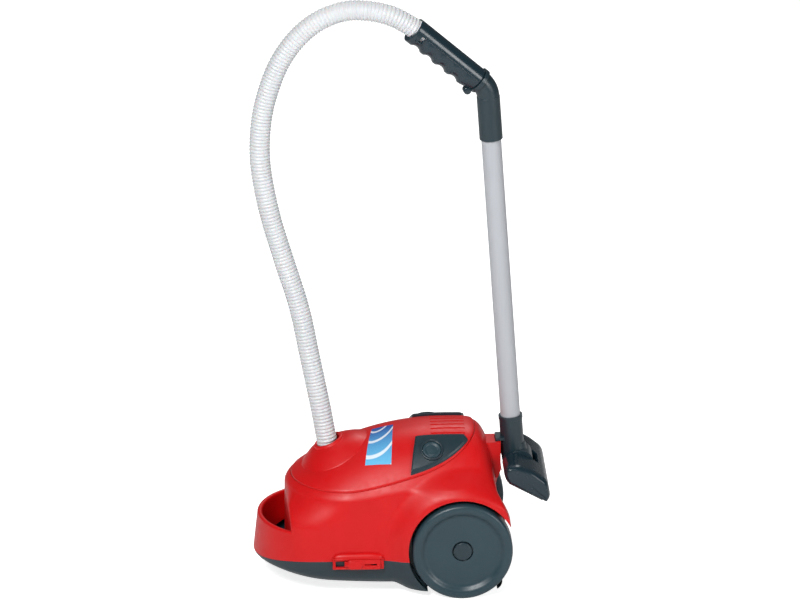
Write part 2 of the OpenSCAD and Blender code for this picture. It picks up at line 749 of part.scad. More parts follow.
module trim_panel(side) {
    color(slate) difference() {
        union() {
            trim_patch(side);
            on_button(side) translate([0, 0, trim_foot_z]) cylinder(h = 0.6 - trim_foot_z, r = button_ring_r);
        }
        on_button(side) translate([0, 0, trim_foot_z - 2]) cylinder(h = 2 * trim_t - trim_foot_z + 2,
            r = button_r + button_play);
    }
}
module trim_panel_left() trim_panel(-1);
module trim_panel_right() trim_panel(1);

module button(side) {
    crown_r = 60;
    color(slate_light) on_button(side) {
        intersection() {
            translate([0, 0, flange_z + 1]) cylinder(h = button_proud - flange_z, r = button_r);
            translate([0, 0, button_proud - crown_r]) sphere(r = crown_r);
        }
        translate([0, 0, flange_z]) cylinder(h = 1.4, r = seat_bore_r - 0.5);
        translate([0, 0, flange_z - 4.5]) cylinder(h = 5, r = 2.2);
    }
}
module button_left() button(-1);
module button_right() button(1);

// Helical return spring under a button
module button_spring(side) {
    turns = 5;
    wire_r = 0.6;
    coil_r = 7.4;
    steps = 8 * turns;
    sides = 6;
    low = seat_floor_z + wire_r + 0.05;
    high = flange_z - wire_r - 0.05;
    rings = [for (k = [0 : steps]) let(a = 360 * turns * k / steps, z = lerp(low, high, k / steps))
        [for (i = [0 : sides - 1]) let(b = 360 * i / sides)
            [(coil_r + wire_r * cos(b)) * cos(a), (coil_r + wire_r * cos(b)) * sin(a), z + wire_r * sin(b)]]];
    color(steel) on_button(side)
        loft(rings, [[coil_r, 0, low], [coil_r * cos(360 * turns), coil_r * sin(360 * turns), high]]);
}
module button_spring_left() button_spring(-1);
module button_spring_right() button_spring(1);

module push_switch() {
    body = [13, 7, 7];
    top = seat_floor_z - 2;
    color("#2a2c30") on_button(-1) {
        translate([-body.x / 2, -body.y / 2, top - body.z]) cube(body);
        translate([0, 0, top - 0.5]) cylinder(h = 0.5 + top_of_plunger - top, r = 1.5);
    }
}
top_of_plunger = flange_z - 4.5 - button_travel - 0.4;

// Thumb slider: T foot in the track, and outside it a pointed thumb plate with a slot behind
module latch_slider(side) {
    thumb_l = latch_body + 9;
    plate_t = 2.4;
    pad_l = 12;
    pad_t = 1.2;
    nose_l = 5;
    slot_half = 1;
    y0 = latch_y1 + moving_gap;
    half_h = latch_h / 2 - 0.6;
    at_x = latch_x + latch_end + latch_travel + moving_gap;
    color(red) scale_y(side) translate([at_x, 0, 0]) {
        latch_t(latch_body - 2 * moving_gap, 0);
        translate([0, y0 + plate_t, latch_z]) rotate([90, 0, 0]) linear_extrude(plate_t) difference() {
            polygon([[0, 0], [nose_l, half_h], [thumb_l, half_h], [thumb_l, -half_h], [nose_l, -half_h]]);
            translate([nose_l + pad_l + 4, -slot_half]) square([thumb_l - nose_l - pad_l - 8, 2 * slot_half]);
        }
        translate([0, y0 + plate_t + pad_t, latch_z]) rotate([90, 0, 0]) linear_extrude(pad_t + 0.4)
            polygon([[1.5, 0], [nose_l + 0.6, half_h - 1], [nose_l + pad_l, half_h - 1],
                [nose_l + pad_l + 2.5, 0], [nose_l + pad_l, 1 - half_h], [nose_l + 0.6, 1 - half_h]]);
    }
}
module latch_slider_left() latch_slider(-1);
module latch_slider_right() latch_slider(1);

// Wheel: a rim hollow at the back, a recessed face and a pocket for the axle cap
module wheel(side) {
    web = 3;
    tread = 7;
    face = wheel_w - wheel_dish;
    edge = 2;
    bore = axle_r + running_fit;
    outer_edge = [for (a = [0 : 22.5 : 90]) [wheel_r - edge + edge * cos(a), wheel_w - edge + edge * sin(a)]];
    inner_edge = [for (a = [-90 : 22.5 : 0]) [wheel_r - edge + edge * cos(a), edge + edge * sin(a)]];
    color(slate_light) on_axle(side) rotate_extrude() polygon(concat(
        [[bore, 0], [hub_r, 0], [hub_r, face - web], [wheel_r - tread, face - web], [wheel_r - tread, 0]],
        inner_edge, outer_edge,
        [[wheel_rim_r + 3, wheel_w], [wheel_rim_r + 1, wheel_w - 0.8], [wheel_rim_r, face],
            [cap_r + 1, face], [cap_r + 1, hub_end], [bore, hub_end]]));
}
module wheel_left() wheel(-1);
module wheel_right() wheel(1);

module axle_cap(side) {
    face = wheel_w - wheel_dish;
    from = hub_end + moving_gap;
    tip = axle_end - track_half + wheel_w;
    color(slate) on_axle(side) rotate_extrude() polygon([
        [0, tip], [axle_r, tip], [axle_r, from], [cap_r - 1, from], [cap_r, from + 0.6], [cap_r, face - 0.6],
        [cap_r - 0.6, face], [cap_r - 2.4, face + 0.3], [0, face + 0.3]
    ]);
}
module axle_cap_left() axle_cap(-1);
module axle_cap_right() axle_cap(1);

module rear_axle() {
    color(steel) translate([wheel_x, 0, wheel_r]) along_y(-axle_end, axle_end, axle_r);
}

// Front caster under the tray
caster_pos = [-97, 0, caster_r];
caster_pin_r = 2.5;
caster_axle_r = 1.5;
caster_top = belly_at(caster_pos.x) - 1.5;
module caster_yoke() {
    half = caster_w / 2 + 0.5;
    cheek = 2;
    plate_z = caster_top - moving_gap;
    plate_t = 1.4;
    color(slate) difference() {
        union() {
            translate([caster_pos.x, 0, plate_z - plate_t]) cylinder(h = plate_t, r = half + cheek);
            translate([caster_pos.x, 0, plate_z - 0.5]) cylinder(h = 10, r = caster_pin_r);
            both_sides() hull() {
                block([caster_pos.x - 4, half, plate_z - plate_t], [caster_pos.x + 3, half + cheek, plate_z - 0.4]);
                translate([caster_pos.x + caster_trail, 0, caster_r]) along_y(half, half + cheek, 3.2);
            }
        }
        translate([caster_pos.x + caster_trail, 0, caster_r]) along_y(-half - 5, half + 5, caster_axle_r);
    }
}
module caster_wheel() {
    edge = 1.2;
    color(slate_light) translate([caster_pos.x + caster_trail, -caster_w / 2, caster_r]) rotate([-90, 0, 0])
        rotate_extrude() polygon([
            [caster_axle_r + running_fit, 0], [caster_r - edge, 0], [caster_r, edge], [caster_r, caster_w - edge],
            [caster_r - edge, caster_w], [caster_axle_r + running_fit, caster_w]
        ]);
}
module caster_pin() {
    reach = caster_w / 2 + 2.5;
    color(steel) translate([caster_pos.x + caster_trail, 0, caster_r]) along_y(-reach, reach, caster_axle_r);
}

// Battery bay
screw_r = 1.5;
screw_head_r = 2.8;
module battery_door() {
    slack = 0.25;
    ridge_from = bay_x - bay_half_l + 12;
    ridge_l = 6;
    color(slate) difference() {
        block([bay_x - bay_half_l + slack, -bay_half_w + slack, bay_floor_z],
            [bay_x + bay_half_l - slack, bay_half_w - slack, bay_floor_z + door_t]);
        for (k = [-2 : 2]) block([ridge_from, 4 * k - 0.8, bay_floor_z - 1],
            [ridge_from + ridge_l, 4 * k + 0.8, bay_floor_z + 0.8]);
        translate([door_screw_x, 0, bay_floor_z - 1]) cylinder(h = door_t + 2, r = screw_r + 0.1);
        translate([door_screw_x, 0, bay_floor_z - 1]) cylinder(h = 2, r = screw_head_r + 0.2);
    }
}
module screw(l) {
    difference() {
        union() {
            cylinder(h = 1.6, r = screw_head_r);
            translate([0, 0, 1.5]) cylinder(h = l - 1.5, r = screw_r);
        }
        for (a = [0, 90]) rotate([0, 0, a]) block([-1.8, -0.4, -1], [1.8, 0.4, 0.8]);
    }
}
module battery_door_screw() {
    color(steel) translate([door_screw_x, 0, bay_floor_z + 1 - 1.6]) screw(7);
}
cell_z = bay_floor_z + door_t + 0.6 + cell_r;
module battery_cells() {
    color("#3d6f58") for (k = [-1 : 1]) translate([cells_x + cell_pitch * k, 0, cell_z]) {
        along_y(-cell_l / 2, cell_l / 2 - 1, cell_r);
        along_y(cell_l / 2 - 1.5, cell_l / 2 + 0.5, 2.5);
    }
}
contact_half = 5;
contact_t = 0.5;
contact_gap = 0.8;
module battery_contacts() {
    y = cell_l / 2 + contact_gap;
    color(brass) for (k = [-1 : 1], side = [-1, 1]) translate([cells_x + cell_pitch * k, 0, cell_z])
        scale_y(side) block([-contact_half, y, -contact_half], [contact_half, y + contact_t, contact_half]);
}

// Motor on a bracket over the axle's front, with the fan behind it
module motor() {
    color(steel) translate([motor_x, 0, motor_z]) rotate([0, 90, 0]) difference() {
        union() {
            cylinder(h = motor_l, r = motor_r);
            translate([0, 0, motor_l - 0.5]) cylinder(h = 2.5, r = 4);
        }
        translate([0, 0, 4]) cylinder(h = motor_l, r = shaft_r + running_fit);
    }
}
shaft_r = 1.2;
module motor_shaft() {
    start = motor_x + 5;
    color(steel) translate([start, 0, motor_z]) rotate([0, 90, 0])
        cylinder(h = fan_x + fan_w - start, r = shaft_r);
}
module motor_mount() {
    floor_z = skirt_z + wall;
    plate = 2.5;
    half = motor_r + 4;
    color("#4a4e52") difference() {
        union() {
            block([motor_x + 2, -half, floor_z], [motor_x + motor_l - 2, half, floor_z + plate]);
            for (x = [motor_x + 3, motor_x + motor_l - 6])
                block([x, -half, floor_z], [x + plate, half, motor_z + motor_r + 3]);
        }
        translate([motor_x - 1, 0, motor_z]) rotate([0, 90, 0]) cylinder(h = motor_l + 2, r = motor_r + 0.05);
    }
}
module fan_impeller() {
    hub = 5;
    disc_t = 1.2;
    color(white) translate([fan_x, 0, motor_z]) rotate([0, 90, 0]) difference() {
        union() {
            cylinder(h = fan_w, r = hub);
            cylinder(h = disc_t, r = fan_r);
            for (k = [0 : fan_blades - 1]) rotate([0, 0, 360 * k / fan_blades]) translate([hub - 1, 0, 0])
                rotate([0, 0, 18]) block([0, -0.6, 0.4], [fan_r - hub - 1.5, 0.6, fan_w]);
        }
        translate([0, 0, -1]) cylinder(h = fan_w + 2, r = shaft_r);
    }
}
module housing_screws() {
    color(steel) for (p = [screw_front, screw_rear], side = [-1, 1])
        translate([p.x, side * p.y, belly_at(p.x) + 5 - 1.6]) screw(lug_z + 7 - belly_at(p.x) - 5);
}

// Dock on the rear wall: its front follows the wall and the rear shoulder, its slot takes the hook
dock_slot_x = [dock_x - 2.2 - hook_t - 2 * moving_gap, dock_x - 2.2];
dock_wall = 3.5;
module parking_bracket() {
    foot = dock_z - dock_h;
    lid = lid_half();
    rear = back_at(shoulder_z);
    shoulder = [for (t = [0, 0.2, 0.5, 1]) let(x = lerp(rear, lid[len(lid) - 1].x, t)) [x, roof_at(x, 0)]];
    color(red) difference() {
        translate([0, dock_half_w, 0]) rotate([90, 0, 0]) linear_extrude(2 * dock_half_w) polygon(concat(
            [[dock_x - 3, foot], [back_at(foot), foot]], shoulder,
            [[dock_x, crest_z], [dock_x, foot + 8]]));
        block([0, -half_w, dock_z], [rear_x + 10, half_w, crest_z + 10]);
        block([dock_slot_x[0], -dock_half_w + dock_wall, foot + 9],
            [dock_slot_x[1], dock_half_w - dock_wall, dock_z + 1]);
    }
}

// Hose with its ribs and bore, and the cuffs at its ends
module hose() {
    sides = 8;
    bore_steps = 60;
    outer = [for (k = [0 : 2 * rib_count])
        hose_ring(hose_l * k / (2 * rib_count), hose_r - (k % 2 == 0 ? rib_depth : 0), sides)];
    inner = [for (k = [bore_steps : -1 : 0]) hose_ring(hose_l * k / bore_steps, hose_bore_r, sides)];
    color(white) loft(concat(outer, inner));
}
module hose_lower_cuff() {
    l = 14;
    color(white) on_hose() translate([0, 0, -l]) difference() {
        cylinder(h = l, r = hose_r + 0.5);
        translate([0, 0, -1]) cylinder(h = l + 2, r = hose_bore_r - 0.6);
    }
}
module hose_upper_cuff() {
    end_gap = 0.2;
    color(white) on_grip() translate([0, 0, grip_reach - hose_seat - upper_cuff_l]) difference() {
        cylinder(h = upper_cuff_l - end_gap, r = hose_r);
        translate([0, 0, -1]) cylinder(h = upper_cuff_l + 2, r = hose_bore_r - 0.6);
    }
}

// Grip: a round tube with a deeper underside, scalloped for four fingers
module grip() {
    drop = 1.8;
    scallop_r = 11;
    scallop_x = -grip_r - drop - scallop_r + scallop_depth;
    first = 17;
    bore_l = hose_seat + upper_cuff_l;
    knob_r = 4.2;
    window = [6, 3.2];
    color(slate) on_grip() difference() {
        union() {
            translate([0, 0, grip_at]) cylinder(h = grip_l, r = grip_r);
            difference() {
                translate([-drop, 0, grip_at + 2]) cylinder(h = grip_l - 6, r = grip_r);
                for (k = [0 : 3]) translate([scallop_x, 0, grip_at + first + scallop_pitch * (k + 0.5)])
                    along_y(-2 * grip_r, 2 * grip_r, scallop_r);
            }
            translate([-grip_r - 2.5, 0, grip_at + 4.5]) along_y(-5, 5, knob_r);
        }
        translate([0, 0, grip_reach - bore_l]) cylinder(h = bore_l + 1, r = grip_bore_r);
        translate([0, 0, grip_at - 1]) cylinder(h = grip_l, r = spigot_r + running_fit);
        block([-window.x, -grip_r - 1, grip_reach - 12], [0, -grip_r + 4, grip_reach - 12 + window.y]);
    }
}

module arc_tube(r) {
    translate([0, 0, socket_start + socket_l]) rotate([0, 0, handle_turn]) translate([-bend_r, 0, 0])
        rotate([90, 0, 0]) rotate_extrude(angle = handle_bend) translate([bend_r, 0]) circle(r = r);
}
module handle_elbow() {
    air_r = 7.5;
    step = 0.35;
    lap = 0.6;
    color(slate) difference() {
        union() {
            on_wand() {
                translate([0, 0, socket_start]) cylinder(h = socket_l + lap, r = collar_r);
                arc_tube(collar_r - step);
            }
            on_grip() {
                translate([0, 0, bend_run - lap]) cylinder(h = grip_at - bend_run + lap, r = grip_r + 1.6);
                translate([0, 0, ring_at]) cylinder(h = ring_t + spigot_l, r = spigot_r);
            }
        }
        on_wand() {
            translate([0, 0, socket_start - 1]) cylinder(h = tube_end - socket_start + 1, r = tube_r + running_fit);
            translate([0, 0, socket_start]) cylinder(h = socket_l + lap, r = air_r + step);
            arc_tube(air_r);
        }
        on_grip() translate([0, 0, bend_run - lap]) cylinder(h = 40, r = air_r + step);
    }
}

module wand_tube() {
    color(pale_grey) on_wand() translate([0, 0, tube_start]) difference() {
        cylinder(h = tube_end - tube_start, r = tube_r);
        translate([0, 0, -1]) cylinder(h = tube_end - tube_start + 2, r = tube_r - tube_wall);
    }
}

// Collar round the tube's foot, the parking hook in front of it and the pivot barrel below
module nozzle_elbow() {
    hook_half_w = dock_half_w - dock_wall - moving_gap;
    arm_z = dock_z + moving_gap;
    arm_t = 3;
    tongue_x = dock_slot_x[0] + moving_gap;
    tongue_end = dock_z - dock_h + 9 + 2;
    lip_t = 4;
    color(slate) difference() {
        union() {
            on_wand() {
                cylinder(h = collar_top, r = collar_r);
                translate([0, 0, collar_top - lip_t]) cylinder(h = lip_t, r = collar_r + 0.5);
                translate([pivot_off, 0, 0]) along_y(-barrel_half_w, barrel_half_w, barrel_r);
                translate([pivot_off / 2, 0, 2]) cylinder(h = 16, r1 = barrel_r, r2 = collar_r - 2);
            }
            block([tongue_x, -hook_half_w, arm_z], [wand_x, hook_half_w, arm_z + arm_t]);
            block([tongue_x, -hook_half_w, tongue_end], [tongue_x + hook_t, hook_half_w, arm_z + arm_t]);
        }
        on_wand() {
            translate([0, 0, tube_start - 0.5]) cylinder(h = collar_top, r = tube_r + running_fit);
            translate([0, 0, 15.5]) cylinder(h = 20, r = tube_r - tube_wall);
            translate([pivot_off, 0, 0]) along_y(-barrel_half_w - 1, barrel_half_w + 1, pivot_pin_r + running_fit);
        }
    }
}

// Floor head: a side profile with rounded ends in plan, hollow from below
head_back = -11;
head_lip = 34.5;
head_top = 9.5;
head_tail = -22.5;
head_corner = 13;
bulge_r = 16;
bulge_z = 8;
bulge_h = 15;
bulge_out = 0.8;
sole_t = 1.9;
sole_rim = 4;
module head_profile(width) {
    front = [for (a = [0 : 15 : 60])
        [head_lip + bulge_out - bulge_r + bulge_r * cos(a), -pivot_h + bulge_z + bulge_h * sin(a)]];
    rear = [[0.705, 1], [-1.053, 0.79], [-1.937, 0.442], [-2.179, 0.105], [-2.137, -0.526], [-1.937, -0.947]];
    translate([0, width, 0]) rotate([90, 0, 0]) linear_extrude(2 * width) polygon(concat(
        [[head_back, -pivot_h], [head_lip, -pivot_h]], front, head_top * rear));
}
module head_plan() {
    lip = head_lip + 3;
    tall = 4 * head_corner;
    translate([0, 0, -pivot_h - 5]) union() {
        block([head_tail, -head_half_w + head_corner, 0], [lip, head_half_w - head_corner, tall]);
        block([head_tail + head_corner, -head_half_w, 0], [lip - head_corner, head_half_w, tall]);
        for (x = [head_tail + head_corner, lip - head_corner], side = [-1, 1])
            translate([x, side * (head_half_w - head_corner), 0]) cylinder(h = tall, r = head_corner);
    }
}
module nozzle_head() {
    cheek = 3;
    slot_half = barrel_half_w + moving_gap;
    slot_r = barrel_r + barrel_gap;
    notch_x = head_back + 0.5;
    color(slate) on_head() difference() {
        intersection() {
            head_profile(head_half_w);
            head_plan();
        }
        along_y(-slot_half, slot_half, slot_r);
        block([head_tail - 5, -slot_half, -1], [slot_r, slot_half, 2 * slot_r]);
        block([head_tail - 5, -slot_half, -2 * pivot_h], [notch_x, slot_half, 0]);
        both_sides() block([head_back + 4, slot_half + cheek + 5, -pivot_h - 1],
            [head_lip - 8, head_half_w - 6, -pivot_h + 9]);
        block([head_back + 2, -head_half_w + sole_rim, -pivot_h - 1],
            [head_lip - 3, head_half_w - sole_rim, -pivot_h + sole_t]);
        along_y(-slot_half - cheek - 3, slot_half + cheek + 3, pivot_pin_r);
    }
}
module nozzle_sole() {
    slack = 0.2;
    mouth = 4;
    mouth_x = head_lip - 16;
    color(slate_light) on_head() difference() {
        block([head_back + 2 + slack, -head_half_w + sole_rim + slack, -pivot_h],
            [head_lip - 3 - slack, head_half_w - sole_rim - slack, -pivot_h + sole_t]);
        block([mouth_x, -head_half_w + 14, -pivot_h - 1], [mouth_x + mouth, head_half_w - 14, -pivot_h + sole_t + 1]);
        for (x = [head_back + 7, head_back + 12])
            block([x, -head_half_w + 12, -pivot_h - 1], [x + 1.6, head_half_w - 12, -pivot_h + 0.8]);
    }
}
module nozzle_pin() {
    reach = barrel_half_w + moving_gap + 6;
    color(steel) on_head() along_y(-reach, reach, pivot_pin_r);
}

lower_tray();
upper_shell();
top_cover();
hose_collar();
parking_bracket();
trim_panel_left();
trim_panel_right();
button_left();
button_right();
button_spring_left();
button_spring_right();
push_switch();
latch_slider_left();
latch_slider_right();
wheel_left();
wheel_right();
axle_cap_left();
axle_cap_right();
rear_axle();
caster_yoke();
caster_wheel();
caster_pin();
battery_door();
battery_door_screw();
battery_cells();
battery_contacts();
motor();
motor_mount();
motor_shaft();
fan_impeller();
housing_screws();
hose();
hose_lower_cuff();
hose_upper_cuff();
grip();
handle_elbow();
wand_tube();
nozzle_elbow();
nozzle_head();
nozzle_sole();
nozzle_pin();
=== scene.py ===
"""Dressed model of a toy canister vacuum cleaner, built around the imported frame.

Everything is in metres in the frame's own axes: +Z up, +X to the rear, -Y to the toy's left side.
The smooth shells follow the formulas of the solids that they stand for. The fenders' rear tails and the tray's tucked
rear corners are made here alone.
"""

import json
import logging
import math
from dataclasses import dataclass
from enum import Enum
from typing import Iterable, Mapping, Optional, Sequence

import bmesh
import bpy
import numpy as np
from mathutils import Matrix, Vector


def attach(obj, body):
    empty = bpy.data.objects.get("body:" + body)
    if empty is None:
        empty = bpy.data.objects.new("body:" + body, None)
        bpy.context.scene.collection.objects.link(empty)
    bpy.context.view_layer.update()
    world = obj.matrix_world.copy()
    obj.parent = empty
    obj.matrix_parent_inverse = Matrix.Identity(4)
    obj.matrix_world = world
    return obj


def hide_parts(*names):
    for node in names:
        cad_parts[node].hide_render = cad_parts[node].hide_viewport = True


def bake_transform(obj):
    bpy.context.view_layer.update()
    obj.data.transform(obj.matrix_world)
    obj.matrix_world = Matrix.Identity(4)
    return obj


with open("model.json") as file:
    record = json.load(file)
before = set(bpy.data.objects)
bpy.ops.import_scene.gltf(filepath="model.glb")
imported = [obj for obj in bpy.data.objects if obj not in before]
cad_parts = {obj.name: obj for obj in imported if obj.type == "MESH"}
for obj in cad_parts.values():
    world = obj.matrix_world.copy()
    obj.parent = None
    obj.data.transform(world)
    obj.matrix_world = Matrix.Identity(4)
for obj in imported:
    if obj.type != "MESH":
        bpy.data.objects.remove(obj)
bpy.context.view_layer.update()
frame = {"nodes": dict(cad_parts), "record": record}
LOG = logging.getLogger("toy_vacuum")
MM = 0.001
TUBE_TILT = math.radians(3.9)

Array = np.ndarray
Socket = bpy.types.NodeSocket


class Ends(Enum):
    """How a loft is closed at its first and last ring."""

    OPEN = "open"
    LOOP = "loop"
    FANS = "fans"
    STRIPS = "strips"


class Side(Enum):
    """The two sides of the toy, with the sign of their Y."""

    LEFT = -1
    RIGHT = 1

    @property
    def word(self) -> str:
        """The side's name as it is used in node names."""
        return self.name.lower()


def lerp(a, b, t):
    """Goes from a to b as t goes from 0 to 1."""
    return a + (b - a) * t


def ease(t):
    """Goes smoothly from 0 to 1 and stays there outside."""
    c = np.clip(t, 0.0, 1.0)
    return c * c * (3.0 - 2.0 * c)


def smooth_max(a, b, width: float):
    """The larger of a and b, rounded over where they cross.

    Args:
        a: First value.
        b: Second value.
        width: Width of the rounding.

    Returns:
        The rounded maximum.
    """
    h = np.clip(0.5 + 0.5 * (a - b) / width, 0.0, 1.0)
    return b * (1.0 - h) + a * h + width * h * (1.0 - h)


def around(steps: int) -> Array:
    """Angles spread evenly round a circle."""
    return np.linspace(0.0, 2 * math.pi, steps, endpoint=False)


def circle(r: float | Array, z: float, steps: int) -> Array:
    """Circle about the z axis at a height; r may differ from point to point."""
    a = around(steps)
    return np.stack([r * np.cos(a), r * np.sin(a), np.full(steps, z)], axis=1)


def upright(flat: Array, y: float) -> Array:
    """Points of an (x, z) outline, stood up at one y."""
    return np.stack([flat[:, 0], np.full(len(flat), y), flat[:, 1]], axis=1)


def linear(hex_colour: str) -> tuple[float, float, float, float]:
    """Turns an sRGB hex colour to linear RGBA."""
    parts = [int(hex_colour[k : k + 2], 16) / 255.0 for k in (1, 3, 5)]
    values = [c / 12.92 if c <= 0.04045 else ((c + 0.055) / 1.055) ** 2.4 for c in parts]
    return (*values, 1.0)


class Solid:
    """Points and faces gathered before they become one Blender mesh."""

    def __init__(self) -> None:
        """Starts empty."""
        self.points: list[Array] = []
        self.faces: list[tuple[int, ...]] = []
        self.count = 0

    def add(self, points: Array, faces: Iterable[Sequence[int]]) -> None:
        """Adds points, and faces that count from the first of them."""
        self.faces.extend(tuple(i + self.count for i in f) for f in faces)
        self.points.append(np.asarray(points, float))
        self.count += len(points)

    def loft(self, rings: Sequence[Array], ends: Ends = Ends.OPEN) -> None:
        """Skins a row of rings with the same number of points.

        Args:
            rings: Closed rings, each an array of points, all running the same way round.
            ends: How the first and the last ring are closed.
        """
        n, m = len(rings[0]), len(rings)
        rows = m if ends is Ends.LOOP else m - 1
        k, i = np.meshgrid(np.arange(rows), np.arange(n), indexing="ij")
        k2, i2 = (k + 1) % m, (i + 1) % n
        quads = np.stack([k * n + i, k * n + i2, k2 * n + i2, k2 * n + i], axis=-1).reshape(-1, 4).tolist()
        points = np.concatenate(rings)
        top = (m - 1) * n
        if ends is Ends.FANS:
            points = np.concatenate([points, rings[0].mean(0)[None], rings[-1].mean(0)[None]])
            quads += [(m * n, (j + 1) % n, j) for j in range(n)]
            quads += [(m * n + 1, top + j, top + (j + 1) % n) for j in range(n)]
        if ends is Ends.STRIPS:
            for j in range(n // 2):
                face = [j, j + 1, n - j - 1, (n - j) % n]
                face = list(dict.fromkeys(face))
                quads.append(face[::-1])
                quads.append([top + p for p in face])
        self.add(points, quads)

    def sheet(self, rows: Sequence[Array]) -> None:
        """Skins open rows of points into one sheet."""
        n = len(rows[0])
        faces = [(k * n + i, k * n + i + 1, (k + 1) * n + i + 1, (k + 1) * n + i)
                 for k in range(len(rows) - 1) for i in range(n - 1)]
        self.add(np.concatenate(rows), faces)

    def lathe(self, profile: Array, place: Matrix, steps: int = 128) -> None:
        """Turns a closed (radius, height) profile about a frame's z axis.

        Args:
            profile: Rows of radius and height, anticlockwise with the radius to the right.
            place: Frame that holds the axis.
            steps: Number of steps round the axis.
        """
        self.loft([moved(circle(r, z, steps), place) for r, z in profile], Ends.LOOP)

    def prism(self, outline: Array, width: float, place: Matrix, edge: float, steps: int = 5) -> None:
        """Extrudes an (x, z) outline along y both ways, with rounded rims.

        Args:
            outline: Convex corners or a dense convex curve, anticlockwise seen from -y.
            width: Whole width along y.
            place: Frame of the outline.
            edge: Radius of the rims.
            steps: Steps in the rounding.
        """
        inward = inset_directions(outline)
        half = width / 2.0
        turns = np.linspace(0.0, math.pi / 2.0, steps)
        plan = [(-half + edge * (1 - math.cos(a)), edge * (1 - math.sin(a))) for a in turns]
        plan += [(-y, d) for y, d in reversed(plan)]
        self.loft([moved(upright(outline + inward * d, y), place) for y, d in plan], Ends.FANS)

    def mesh(self, name: str) -> bpy.types.Mesh:
        """Makes a Blender mesh from what was gathered."""
        data = bpy.data.meshes.new(name)
        data.from_pydata(np.concatenate(self.points).tolist(), [], self.faces)
        work = bmesh.new()
        work.from_mesh(data)
        bmesh.ops.recalc_face_normals(work, faces=work.faces)
        work.to_mesh(data)
        work.free()
        data.update()
        return data


def moved(points: Array, place: Matrix) -> Array:
    """Moves points into a frame."""
    m = np.array(place)
    return points @ m[:3, :3].T + m[:3, 3]


def inset_directions(outline: Array) -> Array:
    """Directions that move each corner of an anticlockwise outline inwards by one unit on both its edges."""
    ahead = np.roll(outline, -1, axis=0) - outline
    ahead /= np.linalg.norm(ahead, axis=1)[:, None]
    behind = np.roll(ahead, 1, axis=0)
    normal_a = np.stack([-ahead[:, 1], ahead[:, 0]], axis=1)
    normal_b = np.stack([-behind[:, 1], behind[:, 0]], axis=1)
    total = normal_a + normal_b
    scale = 1.0 + np.sum(normal_a * normal_b, axis=1)
    return total / np.maximum(scale, 0.35)[:, None]


def rounded(corners: Sequence[Sequence[float]], steps: int = 6) -> Array:
    """Rounds the corners of an outline.

    Args:
        corners: Rows of x, y and the rounding's reach along each edge.
        steps: Points in each rounded corner.

    Returns:
        The outline's points.
    """
    out: list[Array] = []
    total = len(corners)
    for k, (x, y, reach) in enumerate(corners):
        here = np.array([x, y])
        if reach <= 0:
            out.append(here)
            continue
        before = np.array(corners[k - 1][:2])
        after = np.array(corners[(k + 1) % total][:2])
        start = here + (before - here) / np.linalg.norm(before - here) * reach
        end = here + (after - here) / np.linalg.norm(after - here) * reach
        out.extend(bridge(start, here, end, steps))
    return np.array(out)


def box_outline(x: Sequence[float], z: Sequence[float], edge: float, steps: int = 4) -> Array:
    """Rectangle between limits of x and z, with its corners rounded."""
    return rounded([(x[0], z[0], edge), (x[1], z[0], edge), (x[1], z[1], edge), (x[0], z[1], edge)], steps)


def bridge(a: Array, corner: Array, b: Array, steps: int) -> list[Array]:
    """Rounding from a to b, each a point or a ring, with the sharp corner as its control."""
    return [(1 - t) ** 2 * a + 2 * t * (1 - t) * corner + t * t * b for t in np.linspace(0.0, 1.0, steps)]


def add_node(tree: bpy.types.NodeTree, kind: str, settings: Optional[Mapping] = None,
             links: Optional[Mapping] = None) -> bpy.types.Node:
    """Adds a node with its settings and links.

    Args:
        tree: Node tree that takes the node.
        kind: Blender's name of the node.
        settings: Properties of the node, or values of its inputs by name or number.
        links: Sockets to join to its inputs, by name or number.

    Returns:
        The new node.
    """
    node = tree.nodes.new(kind)
    for key, value in (settings or {}).items():
        if isinstance(key, str) and hasattr(node, key):
            setattr(node, key, value)
        else:
            node.inputs[key].default_value = value
    for key, socket in (links or {}).items():
        tree.links.new(socket, node.inputs[key])
    return node


def noise(tree: bpy.types.NodeTree, place: Socket, size: float, detail: float, roughness: float = 0.5) -> Socket:
    """Noise with blotches of about a size."""
    settings = {"Scale": 1 / size, "Detail": detail, "Roughness": roughness}
    return add_node(tree, "ShaderNodeTexNoise", settings, {"Vector": place}).outputs["Fac"]


def ranged(tree: bpy.types.NodeTree, value: Socket, to: tuple[float, float],
           of: tuple[float, float] = (0.0, 1.0)) -> Socket:
    """Maps a value from one range to another."""
    limits = {"From Min": of[0], "From Max": of[1], "To Min": to[0], "To Max": to[1]}
    return add_node(tree, "ShaderNodeMapRange", limits, {"Value": value}).outputs["Result"]


def mixed(tree: bpy.types.NodeTree, share: Socket, first: str | Socket, second: str | Socket) -> Socket:
    """Mixes two colours.

    Args:
        tree: Node tree that takes the node.
        share: Share of the second colour.
        first: Hex colour or socket.
        second: Hex colour or socket.

    Returns:
        The mixed colour.
    """
    settings, links = {"data_type": "RGBA"}, {0: share}
    for key, colour in ((6, first), (7, second)):
        if isinstance(colour, str):
            settings[key] = linear(colour)
        else:
            links[key] = colour
    return add_node(tree, "ShaderNodeMix", settings, links).outputs[2]


def product(tree: bpy.types.NodeTree, first: Socket, second: float | Socket) -> Socket:
    """Multiplies a value.

    Args:
        tree: Node tree that takes the node.
        first: Socket of the value.
        second: Number or socket to multiply by.

    Returns:
        The product.
    """
    fixed = isinstance(second, float)
    return add_node(tree, "ShaderNodeMath", {"operation": "MULTIPLY", **({1: second} if fixed else {})},
                    {0: first, **({} if fixed else {1: second})}).outputs["Value"]


def bumped(tree: bpy.types.NodeTree, height: Socket, strength: float, depth: float,
           normal: Optional[Socket] = None) -> Socket:
    """Normal that follows a height, on top of another normal if there is one."""
    links = {"Height": height, **({} if normal is None else {"Normal": normal})}
    return add_node(tree, "ShaderNodeBump", {"Strength": strength, "Distance": depth}, links).outputs["Normal"]


